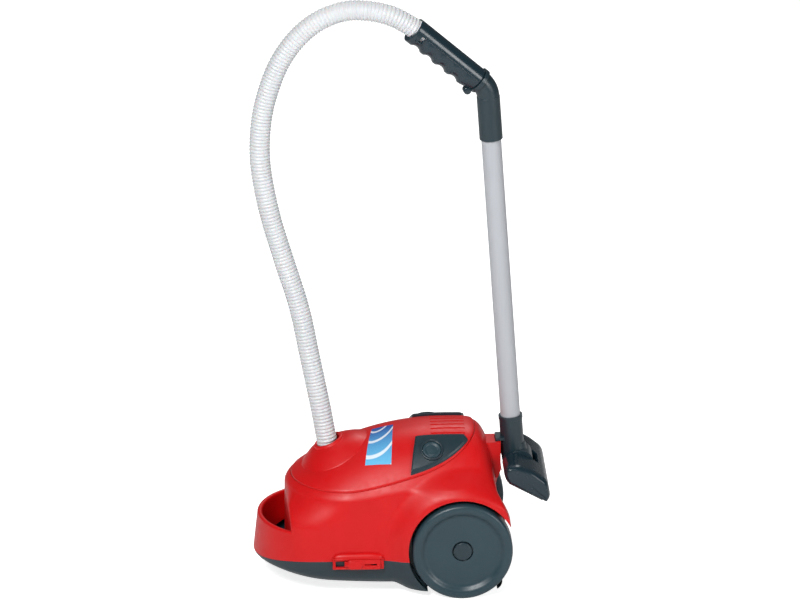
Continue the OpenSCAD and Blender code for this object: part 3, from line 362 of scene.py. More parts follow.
def surface(tree: bpy.types.NodeTree, settings: Mapping, colour: Socket, gloss: Socket,
            normal: Optional[Socket] = None) -> Socket:
    """Principled shader with its colour, roughness and normal joined."""
    links = {"Base Color": colour, "Roughness": gloss, **({} if normal is None else {"Normal": normal})}
    return add_node(tree, "ShaderNodeBsdfPrincipled", settings, links).outputs["BSDF"]


class Finish:
    """A surface finish that makes its material once."""

    name: str

    def shade(self, tree: bpy.types.NodeTree) -> Socket:
        """Builds the shader and returns its output."""
        raise NotImplementedError

    def material(self) -> bpy.types.Material:
        """The finish's material, made when it is first asked for."""
        found = bpy.data.materials.get(self.name)
        if found:
            return found
        made = bpy.data.materials.new(self.name)
        made.use_nodes = True
        made.node_tree.nodes.clear()
        shader = self.shade(made.node_tree)
        add_node(made.node_tree, "ShaderNodeOutputMaterial", links={"Surface": shader})
        return made


@dataclass(frozen=True)
class MouldedPlastic(Finish):
    """Injection-moulded plastic: even colour, soft gloss, and the fine bite of the mould's eroded steel."""

    name: str
    colour: str
    shadow_colour: str
    roughness: float
    grain_mm: float
    grain_height: float = 0.03
    ior: float = 1.53
    edge_mm: float = 0.5
    # Lighter colour painted along every edge, and its greatest share: partly rub wear, partly a painted highlight
    edge_wear_and_highlight_colour: str = "#ffffff"
    edge_share: float = 0.10
    sheen_gap: float = 0.07
    scatter: float = 0.0
    gloss_level: float = 0.5
    flow_mm: float = 38.0
    rub_mm: float = 7.0
    mottle: float = 0.55
    grain_share: float = 0.35
    scatter_mm: float = 1.5

    def shade(self, tree: bpy.types.NodeTree) -> Socket:
        """Builds mottled colour, uneven gloss, a fine grain, and edges painted lighter, partly as rub wear and partly
        as a painted highlight.
        """
        place = add_node(tree, "ShaderNodeTexCoord").outputs["Object"]
        flow = noise(tree, place, self.flow_mm * MM, 4.0, 0.55)
        rub = noise(tree, place, self.rub_mm * MM, 6.0, 0.65)
        grain = noise(tree, place, self.grain_mm * MM, 2.0)
        body = mixed(tree, ranged(tree, flow, (0.0, self.mottle), (0.35, 0.68)), self.colour, self.shadow_colour)
        rounding = add_node(tree, "ShaderNodeBevel", {"samples": 4, "Radius": self.edge_mm * MM}).outputs["Normal"]
        facing = add_node(tree, "ShaderNodeNewGeometry").outputs["Normal"]
        # Edges are found where the rounded normal parts from the true one, and are painted lighter there: partly rub
        # wear, partly a painted highlight
        agree = add_node(tree, "ShaderNodeVectorMath", {"operation": "DOT_PRODUCT"}, {0: rounding, 1: facing})
        worn_and_highlit_edges = ranged(tree, agree.outputs["Value"], (0.0, self.edge_share), (0.995, 0.80))
        colour = mixed(tree, product(tree, worn_and_highlit_edges, rub), body, self.edge_wear_and_highlight_colour)
        gloss = ranged(tree, rub, (self.roughness - self.sheen_gap, self.roughness + self.sheen_gap), (0.3, 0.7))
        settings = {"IOR": self.ior, "Specular IOR Level": self.gloss_level, "Subsurface Weight": self.scatter,
                    "Subsurface Scale": self.scatter_mm * MM}
        return surface(tree, settings, colour, gloss,
                       bumped(tree, grain, self.grain_share, self.grain_height * MM, rounding))


@dataclass(frozen=True)
class ExtrudedTube(Finish):
    """Extruded polypropylene: a satin grey with faint draw lines along the tube."""

    name: str
    colour: str
    shadow_colour: str
    roughness: float
    line_mm: float
    tilt: float
    flow_mm: float = 45.0
    ior: float = 1.49

    def shade(self, tree: bpy.types.NodeTree) -> Socket:
        """Builds noise drawn out along the tube for its colour, gloss and bump."""
        place = add_node(tree, "ShaderNodeTexCoord").outputs["Object"]
        level = add_node(tree, "ShaderNodeMapping",
                         {"Rotation": (0.0, self.tilt, 0.0), "Scale": (1.0, 1.0, 0.01)}, {"Vector": place})
        lines = noise(tree, level.outputs["Vector"], self.line_mm * MM, 3.0)
        flow = noise(tree, place, self.flow_mm * MM, 3.0)
        colour = mixed(tree, product(tree, lines, flow), self.colour, self.shadow_colour)
        gloss = ranged(tree, lines, (self.roughness - 0.08, self.roughness + 0.10))
        return surface(tree, {"IOR": self.ior}, colour, gloss, bumped(tree, lines, 0.2, 0.05 * MM))


@dataclass(frozen=True)
class DrawnMetal(Finish):
    """Drawn or plated metal: bright, with fine scratches and duller patches."""

    name: str
    colour: str
    shadow_colour: str
    roughness: float
    scratch_mm: float

    def shade(self, tree: bpy.types.NodeTree) -> Socket:
        """Builds scratched metal whose tone and gloss vary together."""
        place = add_node(tree, "ShaderNodeTexCoord").outputs["Object"]
        level = add_node(tree, "ShaderNodeMapping", {"Scale": (1.0, 0.08, 1.0)}, {"Vector": place})
        scratch = noise(tree, level.outputs["Vector"], self.scratch_mm * MM, 5.0)
        colour = mixed(tree, scratch, self.colour, self.shadow_colour)
        gloss = ranged(tree, scratch, (self.roughness - 0.1, self.roughness + 0.12))
        return surface(tree, {"Metallic": 1.0}, colour, gloss, bumped(tree, scratch, 0.25, 0.02 * MM))


@dataclass(frozen=True)
class PrintedFilm(Finish):
    """Printed vinyl film: a glossy decal with a graded blue field and pale swirls of air."""

    name: str = "printed_vinyl_film"
    deep: str = "#1f4fa8"
    pale: str = "#6cc0ea"
    mark: str = "#eef4fa"
    mark_share: float = 0.85
    wear_size: float = 1 / 60

    def shade(self, tree: bpy.types.NodeTree) -> Socket:
        """Builds a graded field with swirls from the decal's own coordinates."""
        spot = add_node(tree, "ShaderNodeUVMap", {"uv_map": "decal"}).outputs["UV"]
        axes = add_node(tree, "ShaderNodeSeparateXYZ", links={"Vector": spot})
        ground = mixed(tree, axes.outputs["Y"], self.deep, self.pale)
        bent = add_node(tree, "ShaderNodeMapping", {"Location": (-0.25, 0.35, 0.0)}, {"Vector": spot})
        swirl = add_node(tree, "ShaderNodeTexWave",
                         {"wave_type": "RINGS", "rings_direction": "Z", "Scale": 0.9, "Distortion": 1.6,
                          "Detail": 1.0, "Detail Scale": 0.8}, {"Vector": bent.outputs["Vector"]})
        lines = ranged(tree, swirl.outputs["Fac"], (0.0, 1.0), (0.86, 0.95))
        colour = mixed(tree, product(tree, lines, self.mark_share), ground, self.mark)
        gloss = ranged(tree, noise(tree, spot, self.wear_size, 4.0), (0.18, 0.34))
        return surface(tree, {"IOR": 1.5}, colour, gloss)


# ABS in a strong red, moulded in a lightly eroded tool: soft broad highlights, no mirror; a pale pink painted
# highlight with wear along its edges
RED_ABS = MouldedPlastic("red_abs", "#d00a0e", "#c6060b", 0.42, 0.9, edge_wear_and_highlight_colour="#f08070", gloss_level=0.35)
# ABS in blue-grey slate, satin: grey highlights, painted on together with wear, that show every edge
SLATE_ABS = MouldedPlastic("slate_abs", "#1d3139", "#182a32", 0.34, 0.8, edge_wear_and_highlight_colour="#8fa3aa", edge_share=0.18)
# The slate of the handle and nozzle, in a polished tool: darker, with small bright highlights; a grey painted
# highlight with wear on its edges
HANDLE_ABS = MouldedPlastic("slate_abs_polished", "#162c36", "#12242d", 0.24, 1.2, 0.015, edge_wear_and_highlight_colour="#8fa3aa",
                            edge_share=0.15)
# The same slate in a coarser tool for the wheels and buttons: a paler, duller face; a grey painted highlight with
# wear on its edges
SLATE_WHEEL = MouldedPlastic("slate_polypropylene", "#273f48", "#223841", 0.36, 1.1, 0.05,
                             edge_wear_and_highlight_colour="#93a6ac", edge_share=0.15)
# Polyethylene blown into corrugations: milky white that lets a little light in
WHITE_HOSE = MouldedPlastic("white_polyethylene", "#d4d6d8", "#c8cbcf", 0.40, 1.4, 0.02, ior=1.51,
                            edge_share=0.0, scatter=0.12)
# Polypropylene tube: pale grey, extruded
GREY_TUBE = ExtrudedTube("grey_polypropylene", "#b6b9be", "#a7aab0", 0.42, 1.2, TUBE_TILT)
# Steel wire and rod as drawn
STEEL = DrawnMetal("drawn_steel", "#b4b8bc", "#94989d", 0.32, 0.8)
# Plated spring brass of battery contacts
BRASS = DrawnMetal("plated_brass", "#c8aa62", "#a98b48", 0.30, 0.8)
# Shrink film round a battery cell, with a white painted highlight and wear on its edges
CELL_WRAP = MouldedPlastic("cell_shrink_film", "#3d6f58", "#335f4b", 0.30, 1.5)
# Black nylon of switches and small brackets, with a grey painted highlight and wear on its edges
BLACK_NYLON = MouldedPlastic("black_nylon", "#26282c", "#1f2125", 0.5, 0.8, edge_wear_and_highlight_colour="#80858a")
# Vinyl film of the decal, with a print of its own in place of the photo's
DECAL = PrintedFilm()

SLOT_FINISH: dict[str, Finish] = {
    "red_plastic": RED_ABS, "slate_plastic": SLATE_ABS, "slate_light_plastic": SLATE_WHEEL,
    "white_plastic": WHITE_HOSE, "grey_plastic": GREY_TUBE, "steel": STEEL, "brass": BRASS,
    "cell_wrap": CELL_WRAP, "black_plastic": BLACK_NYLON,
}


def place_piece(solid: Solid, name: str, finish: Finish, body: str, nodes: Sequence[str] = (),
                cutters: Sequence[bpy.types.Object] = (), sharp_deg: float = 38.0) -> bpy.types.Object:
    """Turns a solid into a finished piece that rides on a body.

    Args:
        solid: Points and faces.
        name: Name of the piece.
        finish: Its finish.
        body: Body that it rides on.
        nodes: CAD nodes that it stands for.
        cutters: Objects whose volume is taken out of it, and which are then deleted.
        sharp_deg: Edges that turn more than this stay crisp.

    Returns:
        The piece.
    """
    piece = object_from(solid, name)
    if cutters:
        carve(piece, cutters)
    piece.data.shade_smooth()
    piece.data.set_sharp_from_angle(angle=math.radians(sharp_deg))
    piece.data.materials.clear()
    piece.data.materials.append(finish.material())
    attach(piece, body)
    if nodes:
        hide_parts(*nodes)
    LOG.info("%s on %s, %d faces", name, body, len(piece.data.polygons))
    return piece


def carve(piece: bpy.types.Object, cutters: Sequence[bpy.types.Object]) -> None:
    """Takes the cutters' volume out of a piece and deletes them."""
    for cutter in cutters:
        cut = piece.modifiers.new(cutter.name, "BOOLEAN")
        cut.operation, cut.solver, cut.object = "DIFFERENCE", "EXACT", cutter
    graph = bpy.context.evaluated_depsgraph_get()
    result = bpy.data.meshes.new_from_object(piece.evaluated_get(graph))
    piece.modifiers.clear()
    piece.data = result
    for cutter in cutters:
        bpy.data.objects.remove(cutter)


def object_from(solid: Solid, name: str) -> bpy.types.Object:
    """An object in the scene, made from a solid."""
    made = bpy.data.objects.new(name, solid.mesh(name))
    bpy.context.collection.objects.link(made)
    return made


def round_cutter(place: Matrix, r: float, ends: Sequence[float], name: str, steps: int = 96) -> bpy.types.Object:
    """Makes a round cutter along a frame's z axis.

    Args:
        place: Frame that holds the axis.
        r: Radius.
        ends: Heights of its two ends.
        name: Name of the cutter.
        steps: Number of steps round the axis.

    Returns:
        The cutter.
    """
    solid = Solid()
    solid.loft([moved(circle(r, z, steps), place) for z in ends], Ends.FANS)
    return object_from(solid, name)


def rod_along_y(x: float, z: float, y0: float, y1: float, r: float, name: str) -> bpy.types.Object:
    """A round cutter along Y from y0 to y1."""
    place = Matrix.Translation((x, y0, z)) @ Matrix.Rotation(-math.pi / 2, 4, "X")
    return round_cutter(place, r, (0.0, y1 - y0), name, 192)


@dataclass(frozen=True)
class Housing:
    """Formulas of the housing's surfaces, shared by every shell."""

    nose_x: float = 0.156
    rear_x: float = 0.108
    rear_lean: float = 0.010
    half_w: float = 0.081
    side_taper: float = 0.0085
    split_z: float = 0.0415
    split_dip: float = 0.0135
    shoulder_z: float = 0.116
    crest_z: float = 0.165
    crest_x: float = 0.045
    wall: float = 0.0025
    grab_wall_x: float = 0.1225
    grab_wall_z: float = 0.107
    grab_wall_bow: float = 0.006
    cheek_set: float = 0.026
    cheek_from: float = 0.5
    wall_from: float = 0.75
    wall_lead: float = 0.001
    shoulder_from_x: float = 0.015
    shoulder_fall_l: float = 0.075
    rear_power: float = 7.0
    lid_power: float = 2.8
    roof_side_power: float = 2.5
    rim_z: float = 0.069
    band_t: float = 0.0055
    belly_z: float = 0.014
    belly_rise: float = 0.011
    skirt_z: float = 0.0085
    belly_step_x: float = -0.013
    belly_step_l: float = 0.020
    wheel_x: float = 0.061
    wheel_r: float = 0.053
    arch_gap: float = 0.004
    fender_y: float = 0.088
    arch_in_y: float = 0.0656
    arch_out_y: float = 0.112
    flare_w: float = 0.027
    flare_from: float = 0.30
    flare_over: float = 0.35
    tail_l: float = 0.010
    tail_from: tuple[float, float, float] = (0.070, 0.056, 0.062)
    tail_over: tuple[float, float, float] = (0.030, 0.022, 0.016)
    tail_top: float = 0.122
    tail_fade: float = 0.036
    tuck_z: float = 0.026
    tuck_from: tuple[float, float] = (0.082, 0.050)
    tuck_over: tuple[float, float] = (0.018, 0.014)
    belly_power: float = 1.6
    roof_front_power: float = 2.1
    roof_rear_power: float = 6.0
    lid_rear_x: float = 0.078
    lid_inset: float = 0.0055
    lid_step: float = 0.0015
    roof_mid: float = -0.010
    nose_steps: int = 72
    side_steps: int = 96
    back_steps: int = 28
    corner_share: float = 0.93
    corner_round: float = 0.0016

    @property
    def nose_mid(self) -> float:
        """X of the middle of the round nose."""
        return self.half_w - self.nose_x

    @property
    def top_mid(self) -> float:
        """X of the middle of the nose at the shoulder."""
        return self.nose_mid + self.cheek_set

    @property
    def arch_r(self) -> float:
        """Radius of a wheel arch."""
        return self.wheel_r + self.arch_gap

    def axle_frame(self, side: Side, y: float) -> Matrix:
        """Frame on the rear axle at a y, z outwards along it."""
        return (Matrix.Translation((self.wheel_x, y, self.wheel_r))
                @ Matrix.Rotation(-side.value * math.pi / 2, 4, "X"))

    def arch_cutter(self, side: Side, inner: float, r: float, name: str) -> bpy.types.Object:
        """Round cutter for the room of a wheel, from a distance off the middle plane outwards."""
        y0, y1 = sorted((side.value * inner, side.value * self.arch_out_y))
        return rod_along_y(self.wheel_x, self.wheel_r, y0, y1, r, name + side.word)

    def climb(self, z):
        """Share of the way up from the parting line to the shoulder, never below 0."""
        return np.maximum(0.0, (z - self.split_z) / (self.shoulder_z - self.split_z))

    def side_half(self, z):
        """Half width of the sides at a height."""
        return self.half_w - self.side_taper * self.climb(z)

    def back_at(self, z):
        """X of the rear wall at a height."""
        return self.rear_x - self.rear_lean * self.climb(z)

    def half_plan(self, m: float, h: float, b: float, power: float) -> Array:
        """Half a plan outline, from the nose round to the middle of the rear.

        Args:
            m: X of the middle of the round nose.
            h: Half width.
            b: X of the rear.
            power: Squareness of the rear.

        Returns:
            Rows of x and y.
        """
        a = np.linspace(0.0, math.pi / 2, self.nose_steps + 1)
        nose = np.stack([m - h * np.cos(a), h * np.sin(a)], axis=1)
        f = self.corner_share * np.arange(1, self.side_steps + 1) / self.side_steps
        side = np.stack([lerp(m, b, f), h * (1 - f**power) ** (1 / power)], axis=1)
        y = (1 - np.arange(1, self.back_steps + 1) / self.back_steps) * (1 - self.corner_share**power) ** (1 / power)
        back = np.stack([lerp(m, b, (1 - y**power) ** (1 / power)), h * y], axis=1)
        return np.concatenate([nose, side, back])

    @staticmethod
    def plan_half(x, m: float, h: float, b: float, power: float):
        """Half width of such an outline at x."""
        front = np.sqrt(np.maximum(0.0, h * h - (x - m) ** 2))
        share = np.clip((x - m) / (b - m), 0.0, 1.0)
        return np.where(x < m, front, h * (1 - share**power) ** (1 / power))

    def lid_edge(self, x):
        """Half width of the lid at x."""
        return self.plan_half(x, self.top_mid, self.side_half(self.shoulder_z) - self.lid_inset, self.lid_rear_x,
                              self.lid_power)

    @staticmethod
    def ring_of(x: Array, y: Array, z: Array) -> Array:
        """A full ring from half of it, mirrored in the middle plane."""
        left = np.stack([x, -y, z], axis=1)
        right = np.stack([x, y, z], axis=1)[-2:0:-1]
        return np.concatenate([left, right])

    def split_at(self, x):
        """Height of the parting line."""
        return self.split_z - self.split_dip * np.maximum(0.0, (self.nose_mid - x) / self.half_w) ** 2

    def shoulder_at(self, x):
        """Height of the shoulder."""
        return lerp(self.shoulder_z, self.grab_wall_z, ease((self.shoulder_from_x - x) / self.shoulder_fall_l))

    def belly_at(self, x):
        """Height of the tray's underside."""
        ahead = np.maximum(0.0, self.belly_step_x - x) / (self.nose_x + self.belly_step_x)
        front = self.belly_rise * ahead**self.belly_power
        step = (self.belly_z - self.skirt_z) * ease((x - self.belly_step_x) / self.belly_step_l)
        return self.belly_z + front - step

    def roof_at(self, x, y):
        """Height of the roof."""
        s = self.shoulder_at(x)
        level = self.shoulder_z
        w = self.plan_half(x, self.top_mid, self.side_half(level), self.back_at(level), self.rear_power)
        w = np.maximum(w, 1e-5)
        ahead = np.maximum(0.0, self.crest_x - x) / (self.crest_x + self.grab_wall_x)
        front = self.crest_z - (self.crest_z - self.grab_wall_z) * ahead**self.roof_front_power
        rear = np.clip((x - self.crest_x) / (self.back_at(level) - self.crest_x), 0.0, 1.0)
        back = self.shoulder_z + (self.crest_z - self.shoulder_z) * (1 - rear**self.roof_rear_power)
        crest = np.where(x < self.crest_x, front, back)
        return s + (crest - s) * np.maximum(0.0, 1 - (np.abs(y) / w) ** self.roof_side_power)

    def level_mid(self, k: float) -> float:
        """X of the middle of the nose at a level of the sides."""
        return lerp(self.nose_mid, self.top_mid, float(ease((k - self.cheek_from) / (1 - self.cheek_from))))

    def grab_wall_at(self, y, k: float):
        """X of the wall behind the grab opening, which rounds into the nose at its top."""
        low = -self.grab_wall_x + self.grab_wall_bow * (y / self.half_w) ** 2
        top = self.top_mid - np.sqrt(np.maximum(0.0, self.side_half(self.shoulder_z) ** 2 - y * y)) - self.wall_lead
        return lerp(low, top, float(ease((k - self.wall_from) / (1 - self.wall_from))))

    def flared(self, x, y, z, g: float):
        """Half width with the swell of the wheel arches."""
        d = np.hypot(x - self.wheel_x, z - self.wheel_r)
        round_arch = ease(1 - (d - self.arch_r) / self.flare_w)
        on_side = ease((y / self.half_w - self.flare_from) / self.flare_over)
        return y + np.maximum(0.0, self.fender_y + g - y) * round_arch * on_side

    def side_ring(self, k: float, g: float) -> Array:
        """Ring of the side walls.

        Args:
            k: 0 at the parting line, 1 at the shoulder.
            g: Growth outwards.

        Returns:
            The ring's points.
        """
        level = lerp(self.split_z, self.shoulder_z, k)
        plan = self.half_plan(self.level_mid(k), self.side_half(level) + g, self.back_at(level) + g, self.rear_power)
        rounding = self.corner_round * (1.0 - 0.9 * float(ease((k - 0.7) / 0.25)))
        x = smooth_max(plan[:, 0], self.grab_wall_at(plan[:, 1], k) - g, rounding)
        z = lerp(self.split_at(x), self.shoulder_at(x), k)
        y = self.flared(x, plan[:, 1], z, g)
        return self.ring_of(x + self.tail(x, y, z), y, z)

    def tail(self, x, y, z):
        """How far the rear corners reach back round the wheels."""
        (x0, y0, z0), (dx, dy, dz) = self.tail_from, self.tail_over
        near = ease((y - y0) / dy) * ease((x - x0) / dx)
        return self.tail_l * near * ease((self.tail_top - z) / self.tail_fade) * ease((z - z0) / dz)

    def lid_plan(self, grow: float = 0.0) -> Array:
        """Half plan of the lid's edge."""
        return self.half_plan(self.top_mid, self.side_half(self.shoulder_z) - self.lid_inset + grow,
                              self.lid_rear_x + grow, self.lid_power)

    def shoulder_ring(self, fillet: float, share: float, gap: float) -> Array:
        """Ring on the roof between the shoulder's rounding and the lid.

        Args:
            fillet: Distance from the shoulder to the end of its rounding.
            share: 0 at the end of the rounding, 1 at the lid.
            gap: Gap left round the lid.

        Returns:
            The ring's points.
        """
        level = self.shoulder_z
        start = self.half_plan(self.top_mid, self.side_half(level), self.back_at(level), self.rear_power)
        lid = self.lid_plan(gap)
        span = np.linalg.norm(lid - start, axis=1)[:, None]
        t = lerp(np.minimum(0.75, fillet / np.maximum(span, 1e-6)), 1.0, share)
        p = lerp(start, lid, t)
        z = self.roof_at(p[:, 0], p[:, 1])
        return self.ring_of(p[:, 0], self.flared(p[:, 0], p[:, 1], z, 0.0), z)

    def lid_ring(self, r: float, g: float) -> Array:
        """Ring of the lid: r is 1 at its edge and 0 at its middle, g lifts it."""
        plan = self.lid_plan()
        x, y = lerp(self.roof_mid, plan[:, 0], r), plan[:, 1] * r
        return self.ring_of(x, y, self.roof_at(x, y) + g)

    def tray_ring(self, s: float, g: float) -> Array:
        """Ring of the tray: s is 0 at the parting line and 1 at the belly."""
        inset = (8.0 * s**5 + s) * MM
        plan = self.half_plan(self.nose_mid, self.half_w - inset + g, self.back_at(self.split_z) - inset + g,
                              self.rear_power)
        (x0, y0), (dx, dy) = self.tuck_from, self.tuck_over
        tuck = self.tuck_z * ease((plan[:, 0] - x0) / dx) * ease((plan[:, 1] - y0) / dy)
        belly = np.maximum(self.belly_at(plan[:, 0]), tuck)
        z = lerp(self.split_at(plan[:, 0]), belly - g, s)
        return self.ring_of(plan[:, 0], self.flared(plan[:, 0], plan[:, 1], z, g), z)


HOUSING = Housing()


@dataclass
class UpperShell:
    """Red upper moulding with the bumper band and the wheel arches."""

    housing: Housing = HOUSING
    levels: int = 54
    fillet: float = 0.0032
    lid_gap: float = 0.0004
    band_reach_deg: float = 60.0
    band_steps: int = 160
    band_set: float = 0.00003
    band_foot: float = 0.00015
    wall_top: float = 0.955

    def build(self) -> bpy.types.Object:
        """Builds the moulding."""
        solid = Solid()
        self.skin(solid)
        self.band()
        h = self.housing
        arches = [h.arch_cutter(side, h.arch_in_y, h.arch_r, "arch_") for side in Side]
        return place_piece(solid, "upper_housing", RED_ABS, "chassis", ["upper_shell"], arches)

    def skin(self, solid: Solid) -> None:
        """The wall from the parting line over the shoulder to the lid, and back inside."""
        h = self.housing
        rings = [h.side_ring(k, 0.0) for k in np.linspace(0.0, self.wall_top, self.levels)]
        inner_end = h.shoulder_ring(self.fillet, 0.0, self.lid_gap)
        rings += bridge(rings[-1], h.side_ring(1.0, 0.0), inner_end, 9)[1:]
        rings += [h.shoulder_ring(self.fillet, t, self.lid_gap) for t in np.linspace(0.0, 1.0, 24)[1:]]
        rings += [h.shoulder_ring(self.fillet, t, self.lid_gap) - [0.0, 0.0, h.wall]
                  for t in (1.0, 0.8, 0.6, 0.4, 0.25, 0.1)]
        rings += [h.side_ring(k, -h.wall) for k in (0.98, 0.8, 0.6, 0.4, 0.2, 0.0)]
        solid.loft(rings, Ends.LOOP)

    def on_nose(self, angle: float, z: float, inside: float) -> tuple[float, float, float]:
        """Point on the nose.

        Args:
            angle: Direction from the middle of the nose, 0 straight ahead.
            z: Height.
            inside: Distance inside the skin.

        Returns:
            X of the nose's middle there, radius and height.
        """
        h = self.housing
        m, r = h.nose_mid, h.half_w
        for _ in range(6):
            x = m - r * math.cos(angle)
            low, high = float(h.split_at(x)), float(h.shoulder_at(x))
            k = (z - low) / (high - low)
            m, r = h.level_mid(k), float(h.side_half(lerp(h.split_z, h.shoulder_z, k)))
        return m, r - inside, z

    def band(self) -> None:
        """The bumper band round the front of the grab opening."""
        h = self.housing
        angles = np.radians(np.linspace(-self.band_reach_deg, self.band_reach_deg, self.band_steps))
        top_r = h.band_t * 0.5
        crown = h.rim_z - top_r
        rings = []
        for a in angles:
            foot = float(h.split_at(h.nose_mid - h.half_w * math.cos(a))) + self.band_foot
            outer = [self.on_nose(a, z, self.band_set) for z in np.linspace(foot, crown, 14)]
            m, r, _ = outer[-1]
            arc = [(m, r - top_r + top_r * math.cos(t), crown + top_r * math.sin(t))
                   for t in np.linspace(0.0, math.pi, 14)]
            inner = [(m, r - 2 * top_r, z) for z in np.linspace(crown, foot, 6)[1:]]
            profile = np.array(outer + arc[1:] + inner)
            rings.append(np.stack([profile[:, 0] - profile[:, 1] * math.cos(a), profile[:, 1] * math.sin(a),
                                   profile[:, 2]], axis=1))
        solid = Solid()
        solid.loft(rings, Ends.FANS)
        place_piece(solid, "bumper_band", RED_ABS, "chassis")


@dataclass
class SideLatch:
    """Thumb slider at the parting line and the track that carries it."""

    side: Side
    housing: Housing = HOUSING
    x: float = -0.076
    length: float = 0.054
    height: float = 0.012
    end: float = 0.003
    travel: float = 0.009
    gap: float = 0.0004
    foot_l: float = 0.0282
    thumb_l: float = 0.038
    plate_t: float = 0.0024
    pad_l: float = 0.012
    nose_l: float = 0.005
    ledge_in: float = 0.0003
    ledge_out: float = 0.0045
    ledge_t: float = 0.0022
    root: float = 0.0012
    post_l: float = 0.006
    hump_r: float = 0.0042
    drop: float = 0.0015
    plate_gap: float = 0.0006
    corner: float = 0.002
    tip: float = 0.0015
    slot_set: float = 0.004
    slot_half: float = 0.001
    pad_set: float = 0.001
    pad_t: float = 0.0016
    pad_point: float = 0.0025
    foot_in: float = 0.0020
    foot_half: float = 0.0030
    overlap: float = 0.0004

    @property
    def z(self) -> float:
        """Height of the slider's middle."""
        return self.housing.split_z - self.drop

    def build(self) -> None:
        """Builds the track on the housing and the slider in it."""
        self.track()
        self.slider()

    def box(self, solid: Solid, x: Sequence[float], y: Sequence[float], z: Sequence[float], edge: float) -> None:
        """Adds a rounded bar from its limits, y counted outwards."""
        outline = box_outline(x, z, edge, 5)
        middle = Matrix.Translation((0.0, self.side.value * (y[0] + y[1]) / 2, 0.0))
        solid.prism(outline, y[1] - y[0], middle, min(edge, 0.45 * (y[1] - y[0])))

    def track(self) -> None:
        """Two ledges between end posts, open behind the slider, and a soft hump that runs out above."""
        solid = Solid()
        w, low, high = self.housing.half_w, self.z - self.height / 2, self.z + self.height / 2
        x, y = (self.x, self.x + self.length), (w + self.ledge_in, w + self.ledge_out)
        self.box(solid, x, (w - self.root, y[1]), (high - self.ledge_t, high), 0.0008)
        self.box(solid, x, y, (low, low + self.ledge_t), 0.0008)
        for post in ((x[0], x[0] + self.end), (x[1] - self.post_l, x[1])):
            self.box(solid, post, y, (low, high), 0.0012)
        a = around(40)
        rings = []
        for t in np.linspace(0.0, 1.0, 48):
            r = self.hump_r * math.sqrt(max(1e-4, 1.0 - abs(2 * t - 1) ** 5))
            rings.append(np.stack([np.full(40, lerp(x[0] + 0.0005, x[1] - 0.0005, t)),
                                   self.side.value * (w + 0.0002 + r * np.cos(a)),
                                   high - 0.0003 + 1.25 * r * np.maximum(0.0, np.sin(a))
                                   + 0.3 * r * np.minimum(0.0, np.sin(a))], axis=1))
        solid.loft(rings, Ends.FANS)
        place_piece(solid, "latch_track_" + self.side.word, RED_ABS, "chassis", sharp_deg=50.0)

    def slider(self) -> None:
        """Pointed thumb plate with a raised pad, a slot behind it and the foot in the track."""
        w, half = self.housing.half_w, self.height / 2 - self.plate_gap
        x0 = self.x + self.end + self.travel + self.gap
        y0 = w + self.ledge_out + self.gap
        name = "latch_" + self.side.word
        plate = Solid()
        nose, end, low, high = x0 + self.nose_l, x0 + self.thumb_l, self.z - half, self.z + half
        c = self.corner
        outline = rounded([(x0, self.z, self.tip), (nose, low, c), (end, low, c), (end, high, c), (nose, high, c)], 6)
        middle = Matrix.Translation((0.0, self.side.value * (y0 + self.plate_t / 2), 0.0))
        plate.prism(outline, self.plate_t, middle, 0.0009)
        slot = Solid()
        pad_x = x0 + self.nose_l + self.pad_l
        self.box(slot, (pad_x + self.slot_set, x0 + self.thumb_l - self.slot_set), (y0 - 0.002, y0 + 0.006),
                 (self.z - self.slot_half, self.z + self.slot_half), 0.0008)
        place_piece(plate, "latch_plate_" + self.side.word, RED_ABS, name,
                    ["latch_slider_" + self.side.word], [object_from(slot, "slot")], 50.0)
        more = Solid()
        front, low, high = x0 + self.nose_l + 0.0006, self.z - half + self.pad_set, self.z + half - self.pad_set
        c = self.tip
        pad = rounded([(x0 + 0.0015, self.z, 0.001), (front, low, c), (pad_x, low, c),
                       (pad_x + self.pad_point, self.z, 0.001), (pad_x, high, c), (front, high, c)], 6)
        middle = Matrix.Translation((0.0, self.side.value * (y0 + self.plate_t + self.overlap), 0.0))
        more.prism(pad, self.pad_t, middle, 0.0007)
        self.box(more, (x0, x0 + self.foot_l), (w + self.foot_in, y0 + self.overlap),
                 (self.z - self.foot_half, self.z + self.foot_half), 0.0004)
        place_piece(more, "latch_thumb_" + self.side.word, RED_ABS, name, sharp_deg=50.0)


